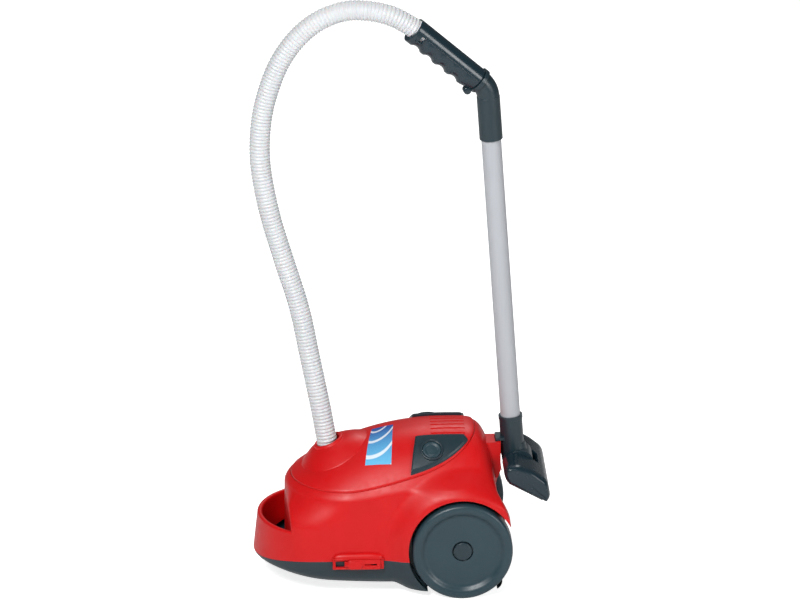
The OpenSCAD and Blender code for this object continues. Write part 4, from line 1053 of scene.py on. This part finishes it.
@dataclass
class TopCover:
    """Red lid with the row of vent grooves."""

    housing: Housing = HOUSING
    vent_count: int = 7
    vent_pitch: float = 0.0084
    vent_l: float = 0.036
    vent_w: float = 0.0024
    vent_x: float = 0.031
    vent_depth: float = 0.0013
    seat_r: float = 0.0121
    hose_hole_r: float = 0.0116
    edge_r: float = 0.0011
    edge_share: float = 0.984

    def build(self) -> bpy.types.Object:
        """Builds the lid with its stepped and rounded edge."""
        h = self.housing
        solid = Solid()
        rings = [h.lid_ring(r, -h.wall) for r in (0.02, 0.3, 0.6, 0.85, 1.0)]
        low = h.lid_ring(1.0, h.lid_step - self.edge_r)
        rings += [h.lid_ring(1.0, 0.0), low]
        rings += bridge(low, h.lid_ring(1.0, h.lid_step), h.lid_ring(self.edge_share, h.lid_step), 7)[1:]
        rings += [h.lid_ring(r, h.lid_step) for r in np.linspace(self.edge_share, 0.02, 64)[1:]]
        solid.loft(rings, Ends.FANS)
        cutters = [self.groove(k) for k in range(self.vent_count)]
        cutters += [button_cutter(side, self.seat_r, "seat_" + side.word) for side in Side]
        cutters.append(hose_cutter(self.hose_hole_r))
        return place_piece(solid, "lid", RED_ABS, "chassis", ["top_cover"], cutters)

    def groove(self, index: int) -> bpy.types.Object:
        """Cutter for one vent groove, with a slanted floor like a louvre."""
        h = self.housing
        y = (index - (self.vent_count - 1) / 2) * self.vent_pitch
        z = float(h.roof_at(np.array(h.crest_x), np.array(y))) + h.lid_step
        solid = Solid()
        x0, x1 = self.vent_x, self.vent_x + self.vent_l
        outline = rounded([(x0, z - self.vent_depth, 0.0004), (x1, z - self.vent_depth, 0.0004),
                           (x1, z + 0.006, 0.0), (x0, z + 0.006, 0.0)], 4)
        solid.prism(outline, self.vent_w, Matrix.Translation((0.0, y, 0.0)), 0.0003)
        return object_from(solid, f"groove_{index}")


HOSE_ROUTE = MM * np.array([
    [-77, 0, 142], [-81, 0, 165], [-85, 0, 188], [-96, 0, 244], [-107, 0, 299], [-123, 0, 353],
    [-138, 0, 407], [-147, 0, 461], [-146, -1, 506], [-138, -3, 544], [-125, -5, 577], [-106, -7, 604],
    [-84, -9, 622], [-58, -11, 632], [-34, -12, 632], [-9, -13, 626]])


def hose_frame() -> Matrix:
    """Frame at the hose's lower end, z along the hose."""
    axis = HOSE_ROUTE[1] - HOSE_ROUTE[0]
    lean = math.atan2(-axis[0], axis[2])
    return Matrix.Translation(HOSE_ROUTE[0]) @ Matrix.Rotation(-lean, 4, "Y")


def hose_cutter(r: float) -> bpy.types.Object:
    """Round cutter along the lower end of the hose."""
    return round_cutter(hose_frame(), r, (-0.04, 0.04), "hose_hole")


@dataclass
class HoseCollar:
    """Red dome that closes in from the lid on the ring round the hose."""

    housing: Housing = HOUSING
    dome_l: float = 0.035
    dome_w: float = 0.040
    rim_at: tuple[float, float, float] = (-0.0760, 0.0, 0.1465)
    rim_tilt: float = math.radians(23.0)
    rim_r: float = 0.0168
    hose_r: float = 0.011
    bead_h: float = 0.0022
    hole_gap: float = 0.0014
    lead: float = 0.007
    swell: float = 0.0030
    steps: int = 128

    def build(self) -> bpy.types.Object:
        """Builds the dome, its bead and the hole."""
        h = self.housing
        a = around(self.steps)
        at = HOSE_ROUTE[0][0] + self.lead
        place = Matrix.Translation(self.rim_at) @ Matrix.Rotation(-self.rim_tilt, 4, "Y")

        def foot(r: float, g: float) -> Array:
            """Ring on the lid at a share of the dome's foot, lifted by g."""
            x, y = at + r * self.dome_l * np.cos(a), r * self.dome_w * np.sin(a)
            return np.stack([x, y, h.roof_at(x, y) + h.lid_step + g], axis=1)

        def lip(r: float, z: float) -> Array:
            """Circle in the rim's own frame."""
            return moved(circle(r, z, self.steps), place)

        rim = lip(self.rim_r, 0.0)
        edge = foot(0.975, 0.0007)
        hole_r = self.hose_r + self.hole_gap
        rings = [lip(hole_r, -0.010), foot(0.75, -0.0005), foot(1.0, -0.0005), foot(0.993, 0.0003), edge]
        shoulder = lerp(edge, rim, 0.60) + [0.0, 0.0, self.swell]
        rings += bridge(edge, shoulder, lerp(edge, rim, 0.97), 24)[1:]
        lip_r = (self.rim_r - hole_r) / 2
        rings += [lip(self.rim_r - lip_r + lip_r * math.cos(t), self.bead_h * math.sin(t))
                  for t in np.linspace(0.0, math.pi, 13)]
        solid = Solid()
        solid.loft(rings, Ends.LOOP)
        return place_piece(solid, "hose_dome", RED_ABS, "chassis", ["hose_collar"], sharp_deg=60.0)


BUTTON_X, BUTTON_Y, TRIM_T = 0.0305, 0.046, 0.004


def button_frame(side: Side) -> Matrix:
    """Frame of a button: z out of the trim panel's face."""
    h = HOUSING
    span = MM
    z = [float(h.roof_at(np.array(BUTTON_X), np.array(BUTTON_Y + d))) for d in (-span, 0.0, span)]
    slope = math.atan((z[0] - z[2]) / (2 * span))
    return (Matrix.Translation((BUTTON_X, side.value * BUTTON_Y, z[1] + h.lid_step))
            @ Matrix.Rotation(-side.value * slope, 4, "X") @ Matrix.Translation((0.0, 0.0, TRIM_T)))


def button_cutter(side: Side, r: float, name: str) -> bpy.types.Object:
    """Round cutter down a button's axis."""
    return round_cutter(button_frame(side), r, (-0.018, 0.012), name)


@dataclass
class TrimPanel:
    """Dark raised panel on a rear shoulder, with the ring round its button."""

    side: Side
    housing: Housing = HOUSING
    top_y: float = 0.031
    top_x: tuple[float, float] = (0.014, 0.066)
    low_x: tuple[float, float] = (0.0075, 0.069)
    margin: float = 0.001
    seat_gap: float = 0.00025
    button_r: float = 0.0096
    play: float = 0.0003
    ring_w: float = 0.0022
    columns: int = 60
    face_share: tuple[float, float] = (0.945, 0.93)
    rim_steps: tuple[tuple[float, float], ...] = ((0.0, 0.0014), (0.00045, 0.0007), (0.0013, 0.0001))
    ring_sink: float = 0.004
    ring_h: float = 0.0009

    def place(self, u: Array, v: Array) -> tuple[Array, Array]:
        """Plan position of the panel's own coordinates, both from 0 to 1."""
        h = self.housing
        top_x = lerp(self.top_x[0], self.top_x[1], u)
        low_x = lerp(self.low_x[0], self.low_x[1], np.sin(u * math.pi / 2))
        return lerp(top_x, low_x, v), lerp(self.top_y, h.lid_edge(low_x) - self.margin, v)

    def outline_ring(self, inset: float, g: float) -> Array:
        """Ring round the panel's border, inset in plan and lifted by g."""
        n = self.columns
        u = np.concatenate([np.linspace(0, 1, n), np.ones(n)[1:], np.linspace(1, 0, n)[1:], np.zeros(n)[1:-1]])
        v = np.concatenate([np.zeros(n), np.linspace(0, 1, n)[1:], np.ones(n)[1:], np.linspace(1, 0, n)[1:-1]])
        x, y = self.place(u, v)
        plan = np.stack([x, y], axis=1)
        plan = plan + inset_directions(plan) * inset
        return np.stack([plan[:, 0], self.side.value * plan[:, 1],
                         self.housing.roof_at(plan[:, 0], plan[:, 1]) + g], axis=1)

    def build(self) -> bpy.types.Object:
        """Builds the panel with chamfered rims and the button's ring."""
        h = self.housing
        low, top = h.lid_step + self.seat_gap, h.lid_step + TRIM_T
        solid = Solid()
        floor = self.outline_ring(0.0, low)
        rings = [floor] + [self.outline_ring(inset, top - drop) for inset, drop in self.rim_steps]
        n = self.columns
        u, v = np.meshgrid(np.linspace(0, 1, n), np.linspace(0, 1, n), indexing="ij")
        x, y = self.place(u, v)
        middle = np.array([x.mean(), y.mean()])
        x, y = lerp(middle[0], x, self.face_share[0]), lerp(middle[1], y, self.face_share[1])
        face = np.stack([x, self.side.value * y, h.roof_at(x, y) + top], axis=-1)
        rings.append(np.concatenate([face[:, 0], face[-1, 1:], face[::-1, -1][1:], face[0, ::-1][1:-1]]))
        solid.loft(rings)
        solid.sheet([face[k] for k in range(n)])
        solid.add(np.concatenate([floor, floor.mean(0)[None]]),
                  [(len(floor), (k + 1) % len(floor), k) for k in range(len(floor))])
        ring_in, ring_out = self.button_r + self.play, self.button_r + self.play + self.ring_w
        foot, h_ring = -self.ring_sink, self.ring_h
        profile = rounded([(ring_in, foot, 0), (ring_out, foot, 0), (ring_out, h_ring, h_ring),
                           (ring_in, h_ring, h_ring)], 6)
        piece = place_piece(solid, "trim_" + self.side.word, SLATE_ABS, "chassis",
                            ["trim_panel_" + self.side.word],
                            [button_cutter(self.side, ring_in, "hole_" + self.side.word)], 32.0)
        ring = Solid()
        ring.lathe(profile, button_frame(self.side))
        place_piece(ring, "button_ring_" + self.side.word, SLATE_ABS, "chassis")
        self.button()
        return piece

    def button(self) -> None:
        """Round push button, level with the panel, with a low rim and a shallow dish."""
        r, axis = self.button_r, 1e-5
        profile = rounded([(axis, -0.009, 0), (r, -0.009, 0), (r, 0.0007, 0.0009), (r - 0.0024, 0.0007, 0.0006),
                           (r - 0.0036, -0.0001, 0.0006), (axis, 0.0003, 0)], 6)
        solid = Solid()
        solid.lathe(profile, button_frame(self.side), 96)
        place_piece(solid, "push_button_" + self.side.word, SLATE_WHEEL,
                    "button_" + self.side.word, ["button_" + self.side.word])


@dataclass
class LowerTray:
    """Dark lower moulding with the wheel wells and the fittings inside it."""

    housing: Housing = HOUSING
    well_y: float = 0.066
    well_t: float = 0.002
    well_d: float = 0.009
    well_back: float = 0.094
    well_steps: int = 240
    hub_r: float = 0.004
    boss_y: float = 0.0696
    boss_r: float = 0.007
    boss_bore: float = 0.0034
    post_at: tuple[float, float] = (0.017, 0.014)
    post_r: tuple[float, float] = (0.005, 0.004)
    post_h: float = 0.012
    post_sink: float = 0.0015
    rib_set: float = 0.010
    rib_half: float = 0.001
    rib_w: float = 0.116
    cut_set: float = 0.001
    cut_gap: float = 0.0006
    ground_gap: float = 0.0006
    outer_levels: tuple[float, ...] = (1.0, 0.985, 0.965, 0.94, 0.9, 0.85, 0.78, 0.7, 0.6, 0.45, 0.3, 0.15, 0.0)
    inner_levels: tuple[float, ...] = (0.0, 0.3, 0.6, 0.8, 0.92, 1.0)

    def build(self) -> bpy.types.Object:
        """Builds the cup, the wells, the boss round the axle and the parts seen in the grab opening."""
        h = self.housing
        solid = Solid()
        rings = [h.tray_ring(s, 0.0) for s in self.outer_levels]
        rings += [h.tray_ring(s, -h.wall) for s in self.inner_levels]
        solid.loft(rings, Ends.STRIPS)
        arches = [h.arch_cutter(side, self.well_y + self.cut_set, h.arch_r + self.cut_gap, "well_") for side in Side]
        tray = place_piece(solid, "tray", SLATE_ABS, "chassis", ["lower_tray"], arches)
        for side in Side:
            self.well(side)
        self.floor_fittings()
        return tray

    def well(self, side: Side) -> None:
        """Disc beside a wheel with its ring, clear of the rear wall and the ground."""
        h = self.housing
        r0, r1 = h.arch_r, h.arch_r + self.well_t
        y0, y1, y2 = self.well_y, self.well_y + self.well_t, self.well_y + self.well_d
        low, back = h.skirt_z + self.ground_gap, self.well_back
        angles = around(self.well_steps)

        def ring(r: float, y: float) -> Array:
            """Circle about the axle, drawn in at the rear and above the ground."""
            z = np.maximum(h.wheel_r + r * np.sin(angles), low)
            x = np.minimum(h.wheel_x + r * np.cos(angles), lerp(h.wheel_x, back, ease((z - 0.03) / 0.03)))
            return upright(np.stack([x, z], axis=1), side.value * y)

        solid = Solid()
        solid.loft([ring(self.hub_r, y0), ring(r1, y0), ring(r1, y2), ring(r0, y2), ring(r0, y1),
                    ring(self.hub_r, y1)], Ends.FANS)
        boss = rounded([(self.boss_bore, self.well_y, 0), (self.boss_r, self.well_y, 0),
                        (self.boss_r, self.boss_y, 0.0006), (self.boss_bore, self.boss_y, 0)], 4)
        solid.lathe(boss, h.axle_frame(side, 0.0), 64)
        place_piece(solid, "wheel_well_" + side.word, SLATE_ABS, "chassis")

    def floor_fittings(self) -> None:
        """Two tapered bosses and the rib behind them on the floor of the grab opening."""
        h = self.housing
        solid = Solid()
        x = -h.nose_x + self.post_at[0]
        floor = float(h.belly_at(np.array(x))) + self.post_sink
        top = floor + self.post_h
        r0, r1 = self.post_r
        profile = rounded([(0.0, floor, 0), (r0, floor, 0), (r1, top, 0.0008), (0.0, top, 0)], 4)
        profile[profile[:, 0] < 1e-6, 0] = 1e-5
        for side in Side:
            solid.lathe(profile, Matrix.Translation((x, side.value * self.post_at[1], 0.0)), 48)
        rib_x = -h.grab_wall_x + self.rib_set
        low = float(h.belly_at(np.array(rib_x))) + 0.001
        high = float(h.split_at(np.array(-h.grab_wall_x))) - 0.001
        x0, x1 = rib_x - self.rib_half, rib_x + self.rib_half
        outline = rounded([(x0, low, 0), (x1, low, 0), (x1, high, 0.0005), (x0, high, 0.0005)], 4)
        solid.prism(outline, self.rib_w, Matrix.Identity(4), 0.0003)
        place_piece(solid, "tray_fittings", SLATE_ABS, "chassis")


@dataclass(frozen=True)
class Wand:
    """Frames of the parked tube, its handle and its nozzle."""

    foot: tuple[float, float, float] = (0.1197, 0.0, 0.123)
    tilt: float = TUBE_TILT
    pivot_off: float = 0.0072
    sole_tilt: float = math.radians(29.0)
    socket_start: float = 0.362
    socket_l: float = 0.0465
    bend: float = math.radians(44.0)
    turn: float = math.radians(9.0)
    bend_r: float = 0.026
    ring_t: float = 0.003
    grip_l: float = 0.091

    @property
    def bend_run(self) -> float:
        """Length of the bend's tangent."""
        return self.bend_r * math.tan(self.bend / 2)

    @property
    def grip_at(self) -> float:
        """Start of the grip from the bend point."""
        return self.bend_run + 0.001 + self.ring_t

    @property
    def grip_reach(self) -> float:
        """Mouth of the grip from the bend point."""
        return self.grip_at + self.grip_l

    def tube(self) -> Matrix:
        """Frame of the tube, z along it."""
        return Matrix.Translation(self.foot) @ Matrix.Rotation(-self.tilt, 4, "Y")

    def grip(self) -> Matrix:
        """Frame of the grip, z along it from the bend point."""
        up = Matrix.Translation((0.0, 0.0, self.socket_start + self.socket_l + self.bend_run))
        return self.tube() @ up @ Matrix.Rotation(self.turn, 4, "Z") @ Matrix.Rotation(-self.bend, 4, "Y")

    def head(self) -> Matrix:
        """Frame of the floor head at its pivot, z square to its sole."""
        side = Matrix.Translation((self.pivot_off, 0.0, 0.0))
        return self.tube() @ side @ Matrix.Rotation(self.sole_tilt + self.tilt, 4, "Y")


WAND = Wand()


@dataclass
class Hose:
    """White corrugated hose from the dome to the grip."""

    wand: Wand = WAND
    outer_r: float = 0.011
    rib_depth: float = 0.0011
    bore_r: float = 0.0084
    ribs: int = 168
    rings_per_rib: int = 6
    sides: int = 28
    seats: tuple[float, ...] = (0.0, 0.011, 0.033)

    def route(self) -> Array:
        """Points that the hose passes, from the dome into the grip."""
        inside = [self.wand.grip() @ Vector((0.0, 0.0, self.wand.grip_reach - s)) for s in self.seats]
        return np.concatenate([HOSE_ROUTE, np.array([list(p) for p in inside])])

    def line(self, count: int) -> Array:
        """Evenly spaced points along a smooth curve through the route."""
        p = self.route()
        dense = []
        for s in np.linspace(0, len(p) - 1, 24 * (len(p) - 1) + 1):
            k = min(int(s), len(p) - 2)
            t = s - k
            a, b, c, d = p[max(k - 1, 0)], p[k], p[k + 1], p[min(k + 2, len(p) - 1)]
            dense.append(0.5 * (2 * b + (c - a) * t + (2 * a - 5 * b + 4 * c - d) * t**2
                                + (3 * b - a - 3 * c + d) * t**3))
        dense = np.array(dense)
        run = np.concatenate([[0.0], np.cumsum(np.linalg.norm(np.diff(dense, axis=0), axis=1))])
        even = np.linspace(0.0, run[-1], count)
        return np.stack([np.interp(even, run, dense[:, k]) for k in range(3)], axis=1)

    def build(self) -> bpy.types.Object:
        count = self.ribs * self.rings_per_rib + 1
        line = self.line(count)
        ahead = np.gradient(line, axis=0)
        ahead /= np.linalg.norm(ahead, axis=1)[:, None]
        across = np.cross([0.0, 1.0, 0.0], ahead)
        across /= np.linalg.norm(across, axis=1)[:, None]
        up = np.cross(ahead, across)
        phase = 2 * math.pi * np.arange(count) / self.rings_per_rib
        wave = (0.5 + 0.5 * np.cos(phase)) ** 0.7
        radius = self.outer_r - self.rib_depth * (1 - wave)
        a = around(self.sides)

        def ring(k: int, r: float) -> Array:
            """Circle square to the hose at one of its points."""
            return line[k] + r * (np.cos(a)[:, None] * across[k] + np.sin(a)[:, None] * up[k])

        rings = [ring(k, radius[k]) for k in range(count)]
        rings += [ring(k, self.bore_r) for k in range(count - 1, -1, -8)]
        solid = Solid()
        solid.loft(rings, Ends.LOOP)
        piece = object_from(solid, "corrugated_hose")
        piece.data.shade_smooth()
        piece.data.materials.append(WHITE_HOSE.material())
        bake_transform(piece)
        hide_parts("hose")
        return piece


@dataclass
class Grip:
    """Dark handle with four finger scallops, a knob and the clip that holds the hose."""

    wand: Wand = WAND
    radius: float = 0.0124
    bore_r: float = 0.01135
    bore_l: float = 0.046
    drop: float = 0.0036
    scallop_r: float = 0.011
    scallop_depth: float = 0.0025
    first: float = 0.0145
    pitch: float = 0.0176
    knob_r: float = 0.0042
    edge: float = 0.0011
    window_half: float = 0.0016
    window_back: float = 0.0104
    bead_r: float = 0.0004
    knob_at: tuple[float, float] = (0.0034, 0.0012)
    knob_w: float = 0.010
    knob_edge: float = 0.0016
    sides: int = 80

    def underside(self, z: float) -> float:
        """How far the underside stands out at a distance from the grip's start."""
        bump = self.drop * float(ease((z + 0.004) / 0.020))
        depth = 0.0
        for k in range(4):
            away = abs(z - self.first - self.pitch * (k + 0.5))
            if away < self.scallop_r:
                hollow = self.scallop_depth - self.scallop_r + math.sqrt(self.scallop_r**2 - away**2)
                depth = max(depth, hollow)
        return bump - depth

    def ring(self, z: float, inset: float) -> Array:
        """Cross-section at a distance from the grip's start, inset all round."""
        under = np.maximum(0.0, -np.cos(around(self.sides))) ** 1.3
        return circle(self.radius - inset + under * self.underside(z), self.wand.grip_at + z, self.sides)

    def build(self) -> None:
        """Builds the handle, its knob, its mould seams and the clip."""
        place, length = self.wand.grip(), self.wand.grip_l
        edge, quarter = self.edge, np.linspace(0, math.pi / 2, 5)
        rings = [self.ring(edge * (1 - math.cos(t)), edge * (1 - math.sin(t))) for t in quarter]
        rings += [self.ring(z, 0.0) for z in np.linspace(edge, length - edge, 150)[1:-1]]
        rings += [self.ring(length - edge + edge * math.sin(t), edge * (1 - math.cos(t)) * 0.8) for t in quarter]
        rings += [circle(self.bore_r, self.wand.grip_reach + z, self.sides) for z in (0.0, -0.004, -self.bore_l)]
        solid = Solid()
        solid.loft([moved(ring, place) for ring in rings], Ends.FANS)
        window = Solid()
        z = self.wand.grip_reach - self.window_back
        window.prism(box_outline((-0.006, 0.0), (z - self.window_half, z + self.window_half), 0.0004), 0.006,
                     place @ Matrix.Translation((0.0, -self.radius, 0.0)), 0.0003)
        place_piece(solid, "handle_grip", HANDLE_ABS, "wand", ["grip"],
                    [object_from(window, "window")], 45.0)
        self.trim(place, z)

    def trim(self, place: Matrix, z: float) -> None:
        """Knob under the grip's start, seam beads along its sides and the clip's raised border."""
        solid = Solid()
        a = around(40)
        knob = np.stack([-self.radius - self.knob_at[0] + self.knob_r * np.cos(a),
                         self.wand.grip_at + self.knob_at[1] + self.knob_r * np.sin(a)], axis=1)
        solid.prism(knob, self.knob_w, place, self.knob_edge)
        small = around(10)
        for way in (-1, 1):
            rings = []
            for t in np.linspace(0.003, self.wand.grip_l - 0.016, 60):
                rings.append(np.stack([self.bead_r * np.cos(small),
                                       way * (self.radius + self.bead_r * np.sin(small)),
                                       np.full(10, self.wand.grip_at + t)], axis=1))
            solid.loft([moved(ring, place) for ring in rings], Ends.FANS)
        lift = place @ Matrix.Translation((0.0, -self.radius + 0.0006, 0.0))
        for x, ends in (((-0.0085, 0.002), (z - 0.0032, z - 0.0019)), ((-0.0085, -0.0068), (z - 0.0032, z + 0.005))):
            solid.prism(box_outline(x, ends, 0.0004), 0.0026, lift, 0.0004)
        place_piece(solid, "handle_details", HANDLE_ABS, "wand", sharp_deg=50.0)


@dataclass
class FloorHead:
    """Floor head: a soft wedge with a notch in which the elbow swings."""

    wand: Wand = WAND
    half_w: float = 0.056
    rim: float = 0.009
    rim_inset: float = 0.0042
    slot_half: float = 0.0149
    slot_r: float = 0.017
    corner_loss: float = 0.45
    corners: tuple[tuple[float, float, float], ...] = (
        (-0.0110, -0.0153, 0.0030), (0.0372, -0.0153, 0.0018), (0.0374, -0.0075, 0.0034), (0.0268, 0.0060, 0.0060),
        (0.0067, 0.0096, 0.0070), (-0.0100, 0.0075, 0.0050), (-0.0208, 0.0005, 0.0042), (-0.0184, -0.0090, 0.0040))

    def build(self) -> None:
        """Builds the head with rounded ends and its cut-outs."""
        place = self.wand.head()
        flat = np.array(self.corners)[:, :2]
        inward = inset_directions(flat)
        turns = np.linspace(0.0, math.pi / 2, 10)
        plan = [(-self.half_w + self.rim * (1 - math.cos(a)), self.rim_inset * (1 - math.sin(a))) for a in turns]
        plan += [(y, 0.0) for y in np.linspace(-self.half_w + self.rim, self.half_w - self.rim, 30)[1:-1]]
        plan += [(-y, d) for y, d in reversed(plan[: len(turns)])]
        rings = []
        for y, d in plan:
            shrunk = flat + inward * d
            soft = 1.0 - self.corner_loss * d / self.rim_inset
            ring = rounded([(x, z, c[2] * soft) for (x, z), c in zip(shrunk, self.corners)], 7)
            rings.append(moved(upright(ring, y), place))
        solid = Solid()
        solid.loft(rings, Ends.FANS)
        pivot = place.translation
        cutters = [rod_along_y(pivot.x, pivot.z, -self.slot_half, self.slot_half, self.slot_r, "barrel_room")]
        rooms = (
            ((-0.0275, self.slot_r), (-0.001, 0.034), 2 * self.slot_half),
            ((-0.0275, -0.0105), (-0.031, 0.002), 2 * self.slot_half),
            ((-0.0090, 0.0315), (-0.0170, -0.0134), 0.104))
        for k, (x, z, w) in enumerate(rooms):
            box = Solid()
            box.prism(box_outline(x, z, 0.0), w, place, 0.0002, 2)
            cutters.append(object_from(box, f"room_{k}"))
        place_piece(solid, "floor_head", HANDLE_ABS, "nozzle", ["nozzle_head"], cutters, 42.0)


@dataclass
class RoadWheel:
    """Rear wheel with a rounded rim and a dished face."""

    side: Side
    radius: float = 0.053
    width: float = 0.022
    track: float = 0.092
    crown_r: float = 0.0448
    rim_r: float = 0.0395
    dish: float = 0.0046
    cap_r: float = 0.0098
    bore: float = 0.00305
    hub_r: float = 0.013
    hollow_r: float = 0.046
    web_t: float = 0.003
    cap_gap: float = 0.0012
    cap_depth: float = 0.0045

    def frame(self) -> Matrix:
        """Frame of the wheel, z from its inner face outwards."""
        return HOUSING.axle_frame(self.side, self.side.value * (self.track - self.width))

    def build(self) -> bpy.types.Object:
        """Builds the wheel."""
        face, hub = self.width - self.dish, self.width - self.dish - self.cap_depth
        web, seat_r = face - self.web_t, self.cap_r + self.cap_gap
        profile = rounded([
            (self.bore, 0.0, 0), (self.hub_r, 0.0, 0.001), (self.hub_r, web, 0.002), (self.hollow_r, web, 0.002),
            (self.hollow_r, 0.0, 0.0012), (self.radius, 0.0, 0.0018), (self.radius, self.width, 0.0048),
            (self.crown_r, self.width, 0.0030), (self.rim_r, face, 0.0026), (seat_r, face, 0.0005),
            (seat_r, hub, 0), (self.bore, hub, 0)], 8)
        solid = Solid()
        solid.lathe(profile, self.frame(), 192)
        return place_piece(solid, "road_wheel_" + self.side.word, SLATE_WHEEL,
                           "wheel_" + self.side.word, ["wheel_" + self.side.word], sharp_deg=40.0)


@dataclass
class Sticker:
    """Decal on the lid between the dome and the left trim panel."""

    housing: Housing = HOUSING
    corners: tuple[tuple[float, float], ...] = ((-0.0300, 0.0080), (-0.0075, 0.0060), (-0.0125, -0.0530),
                                                (-0.0400, -0.0485))
    lift: float = 0.00012
    steps: int = 40

    def build(self) -> bpy.types.Object:
        """Builds the decal as a thin patch on the lid."""
        h = self.housing
        a, b, c, d = (np.array(p) for p in self.corners)
        u, v = np.meshgrid(np.linspace(0, 1, self.steps), np.linspace(0, 1, self.steps), indexing="ij")
        plan = lerp(lerp(a, b, u[..., None]), lerp(d, c, u[..., None]), v[..., None])
        z = h.roof_at(plan[..., 0], plan[..., 1]) + h.lid_step
        solid = Solid()
        top = np.concatenate([plan, (z + self.lift)[..., None]], axis=-1)
        solid.sheet([top[k, ::-1] for k in range(self.steps)])
        piece = place_piece(solid, "decal", DECAL, "chassis")
        layer = piece.data.uv_layers.new(name="decal")
        flat = np.stack([u[:, ::-1], v[:, ::-1]], axis=-1).reshape(-1, 2)
        for loop in piece.data.loops:
            layer.data[loop.index].uv = flat[loop.vertex_index]
        return piece


@dataclass
class Studio:
    """Camera at the photograph's angle, pale floor and soft light."""

    azimuth: float = math.radians(-3.1)
    elevation: float = math.radians(21.0)
    distance: float = 12.0
    px_per_m: float = 950.0
    image_w: int = 800
    target: tuple[float, float, float] = (-0.0005, 0.0, 0.3045)
    sensor_mm: float = 36.0
    floor_glow: float = 0.80
    floor_half: float = 14.0
    sky: float = 0.14

    def build(self) -> None:
        """Builds the camera, the floor, the lamps and the world."""
        scene = bpy.context.scene
        scene.view_settings.view_transform = "Standard"
        a, e = self.azimuth, self.elevation
        away = Vector((math.sin(a) * math.cos(e), -math.cos(a) * math.cos(e), math.sin(e)))
        data = bpy.data.cameras.new("camera")
        data.sensor_width = self.sensor_mm
        data.lens = self.sensor_mm * self.distance / (self.image_w / self.px_per_m)
        data.clip_end = 100.0
        camera = bpy.data.objects.new("camera", data)
        camera.location = Vector(self.target) + away * self.distance
        camera.rotation_euler = (-away).to_track_quat("-Z", "Y").to_euler()
        bpy.context.collection.objects.link(camera)
        scene.camera = camera
        self.floor()
        self.lamp("key", (-0.8, -1.7, 1.9), (0.0, 0.0, 0.2), 0.9, 52.0)
        self.lamp("fill", (1.7, -1.5, 0.9), (0.0, 0.0, 0.2), 0.8, 16.0)
        self.lamp("back", (0.3, 1.6, 1.8), (0.0, 0.0, 0.3), 0.9, 12.0)
        self.world()

    def floor(self) -> None:
        """Pale matt floor."""
        data = bpy.data.meshes.new("floor")
        s = self.floor_half
        data.from_pydata([(-s, -s, 0.0), (s, -s, 0.0), (s, s, 0.0), (-s, s, 0.0)], [], [(0, 1, 2, 3)])
        floor = bpy.data.objects.new("floor", data)
        bpy.context.collection.objects.link(floor)
        made = bpy.data.materials.new("pale_studio_paper")
        made.use_nodes = True
        tree = made.node_tree
        tree.nodes.clear()
        ray = add_node(tree, "ShaderNodeLightPath")
        glow = product(tree, ray.outputs["Is Camera Ray"], self.floor_glow)
        paper = add_node(tree, "ShaderNodeBsdfPrincipled",
                         {"Base Color": linear("#f6f6f6"), "Roughness": 0.9, "Specular IOR Level": 0.1,
                          "Emission Color": (1.0, 1.0, 1.0, 1.0)}, {"Emission Strength": glow})
        add_node(tree, "ShaderNodeOutputMaterial", links={"Surface": paper.outputs["BSDF"]})
        data.materials.append(made)

    def lamp(self, name: str, place: Sequence[float], aim: Sequence[float], size: float, power: float) -> None:
        """Square soft lamp at a place, turned to a point."""
        data = bpy.data.lights.new(name, "AREA")
        data.size, data.energy = size, power
        lamp = bpy.data.objects.new(name, data)
        lamp.location = place
        lamp.rotation_euler = (Vector(aim) - Vector(place)).to_track_quat("-Z", "Y").to_euler()
        bpy.context.collection.objects.link(lamp)

    def world(self) -> None:
        """Even white surroundings."""
        world = bpy.data.worlds.new("studio")
        world.use_nodes = True
        tree = world.node_tree
        tree.nodes.clear()
        sky = add_node(tree, "ShaderNodeBackground", {"Color": (1.0, 1.0, 1.0, 1.0), "Strength": self.sky})
        add_node(tree, "ShaderNodeOutputWorld", links={"Surface": sky.outputs["Background"]})
        bpy.context.scene.world = world


def dress_nodes() -> None:
    """Gives every CAD node that still shows the finish of its material slot."""
    slots = {row["node"]: row["material_slot"] for row in frame["record"]["subparts"]}
    for name, node in frame["nodes"].items():
        finish = SLOT_FINISH[slots[name]]
        node.data.materials.clear()
        node.data.materials.append(finish.material())


def main() -> None:
    """Builds the scene piece by piece."""
    logging.basicConfig(level=logging.INFO, format="%(name)s: %(message)s")
    Studio().build()
    Hose().build()
    UpperShell().build()
    TopCover().build()
    HoseCollar().build()
    LowerTray().build()
    for side in Side:
        SideLatch(side).build()
        TrimPanel(side).build()
        RoadWheel(side).build()
    Grip().build()
    FloorHead().build()
    Sticker().build()
    dress_nodes()


if __name__ == "__main__":
    main()
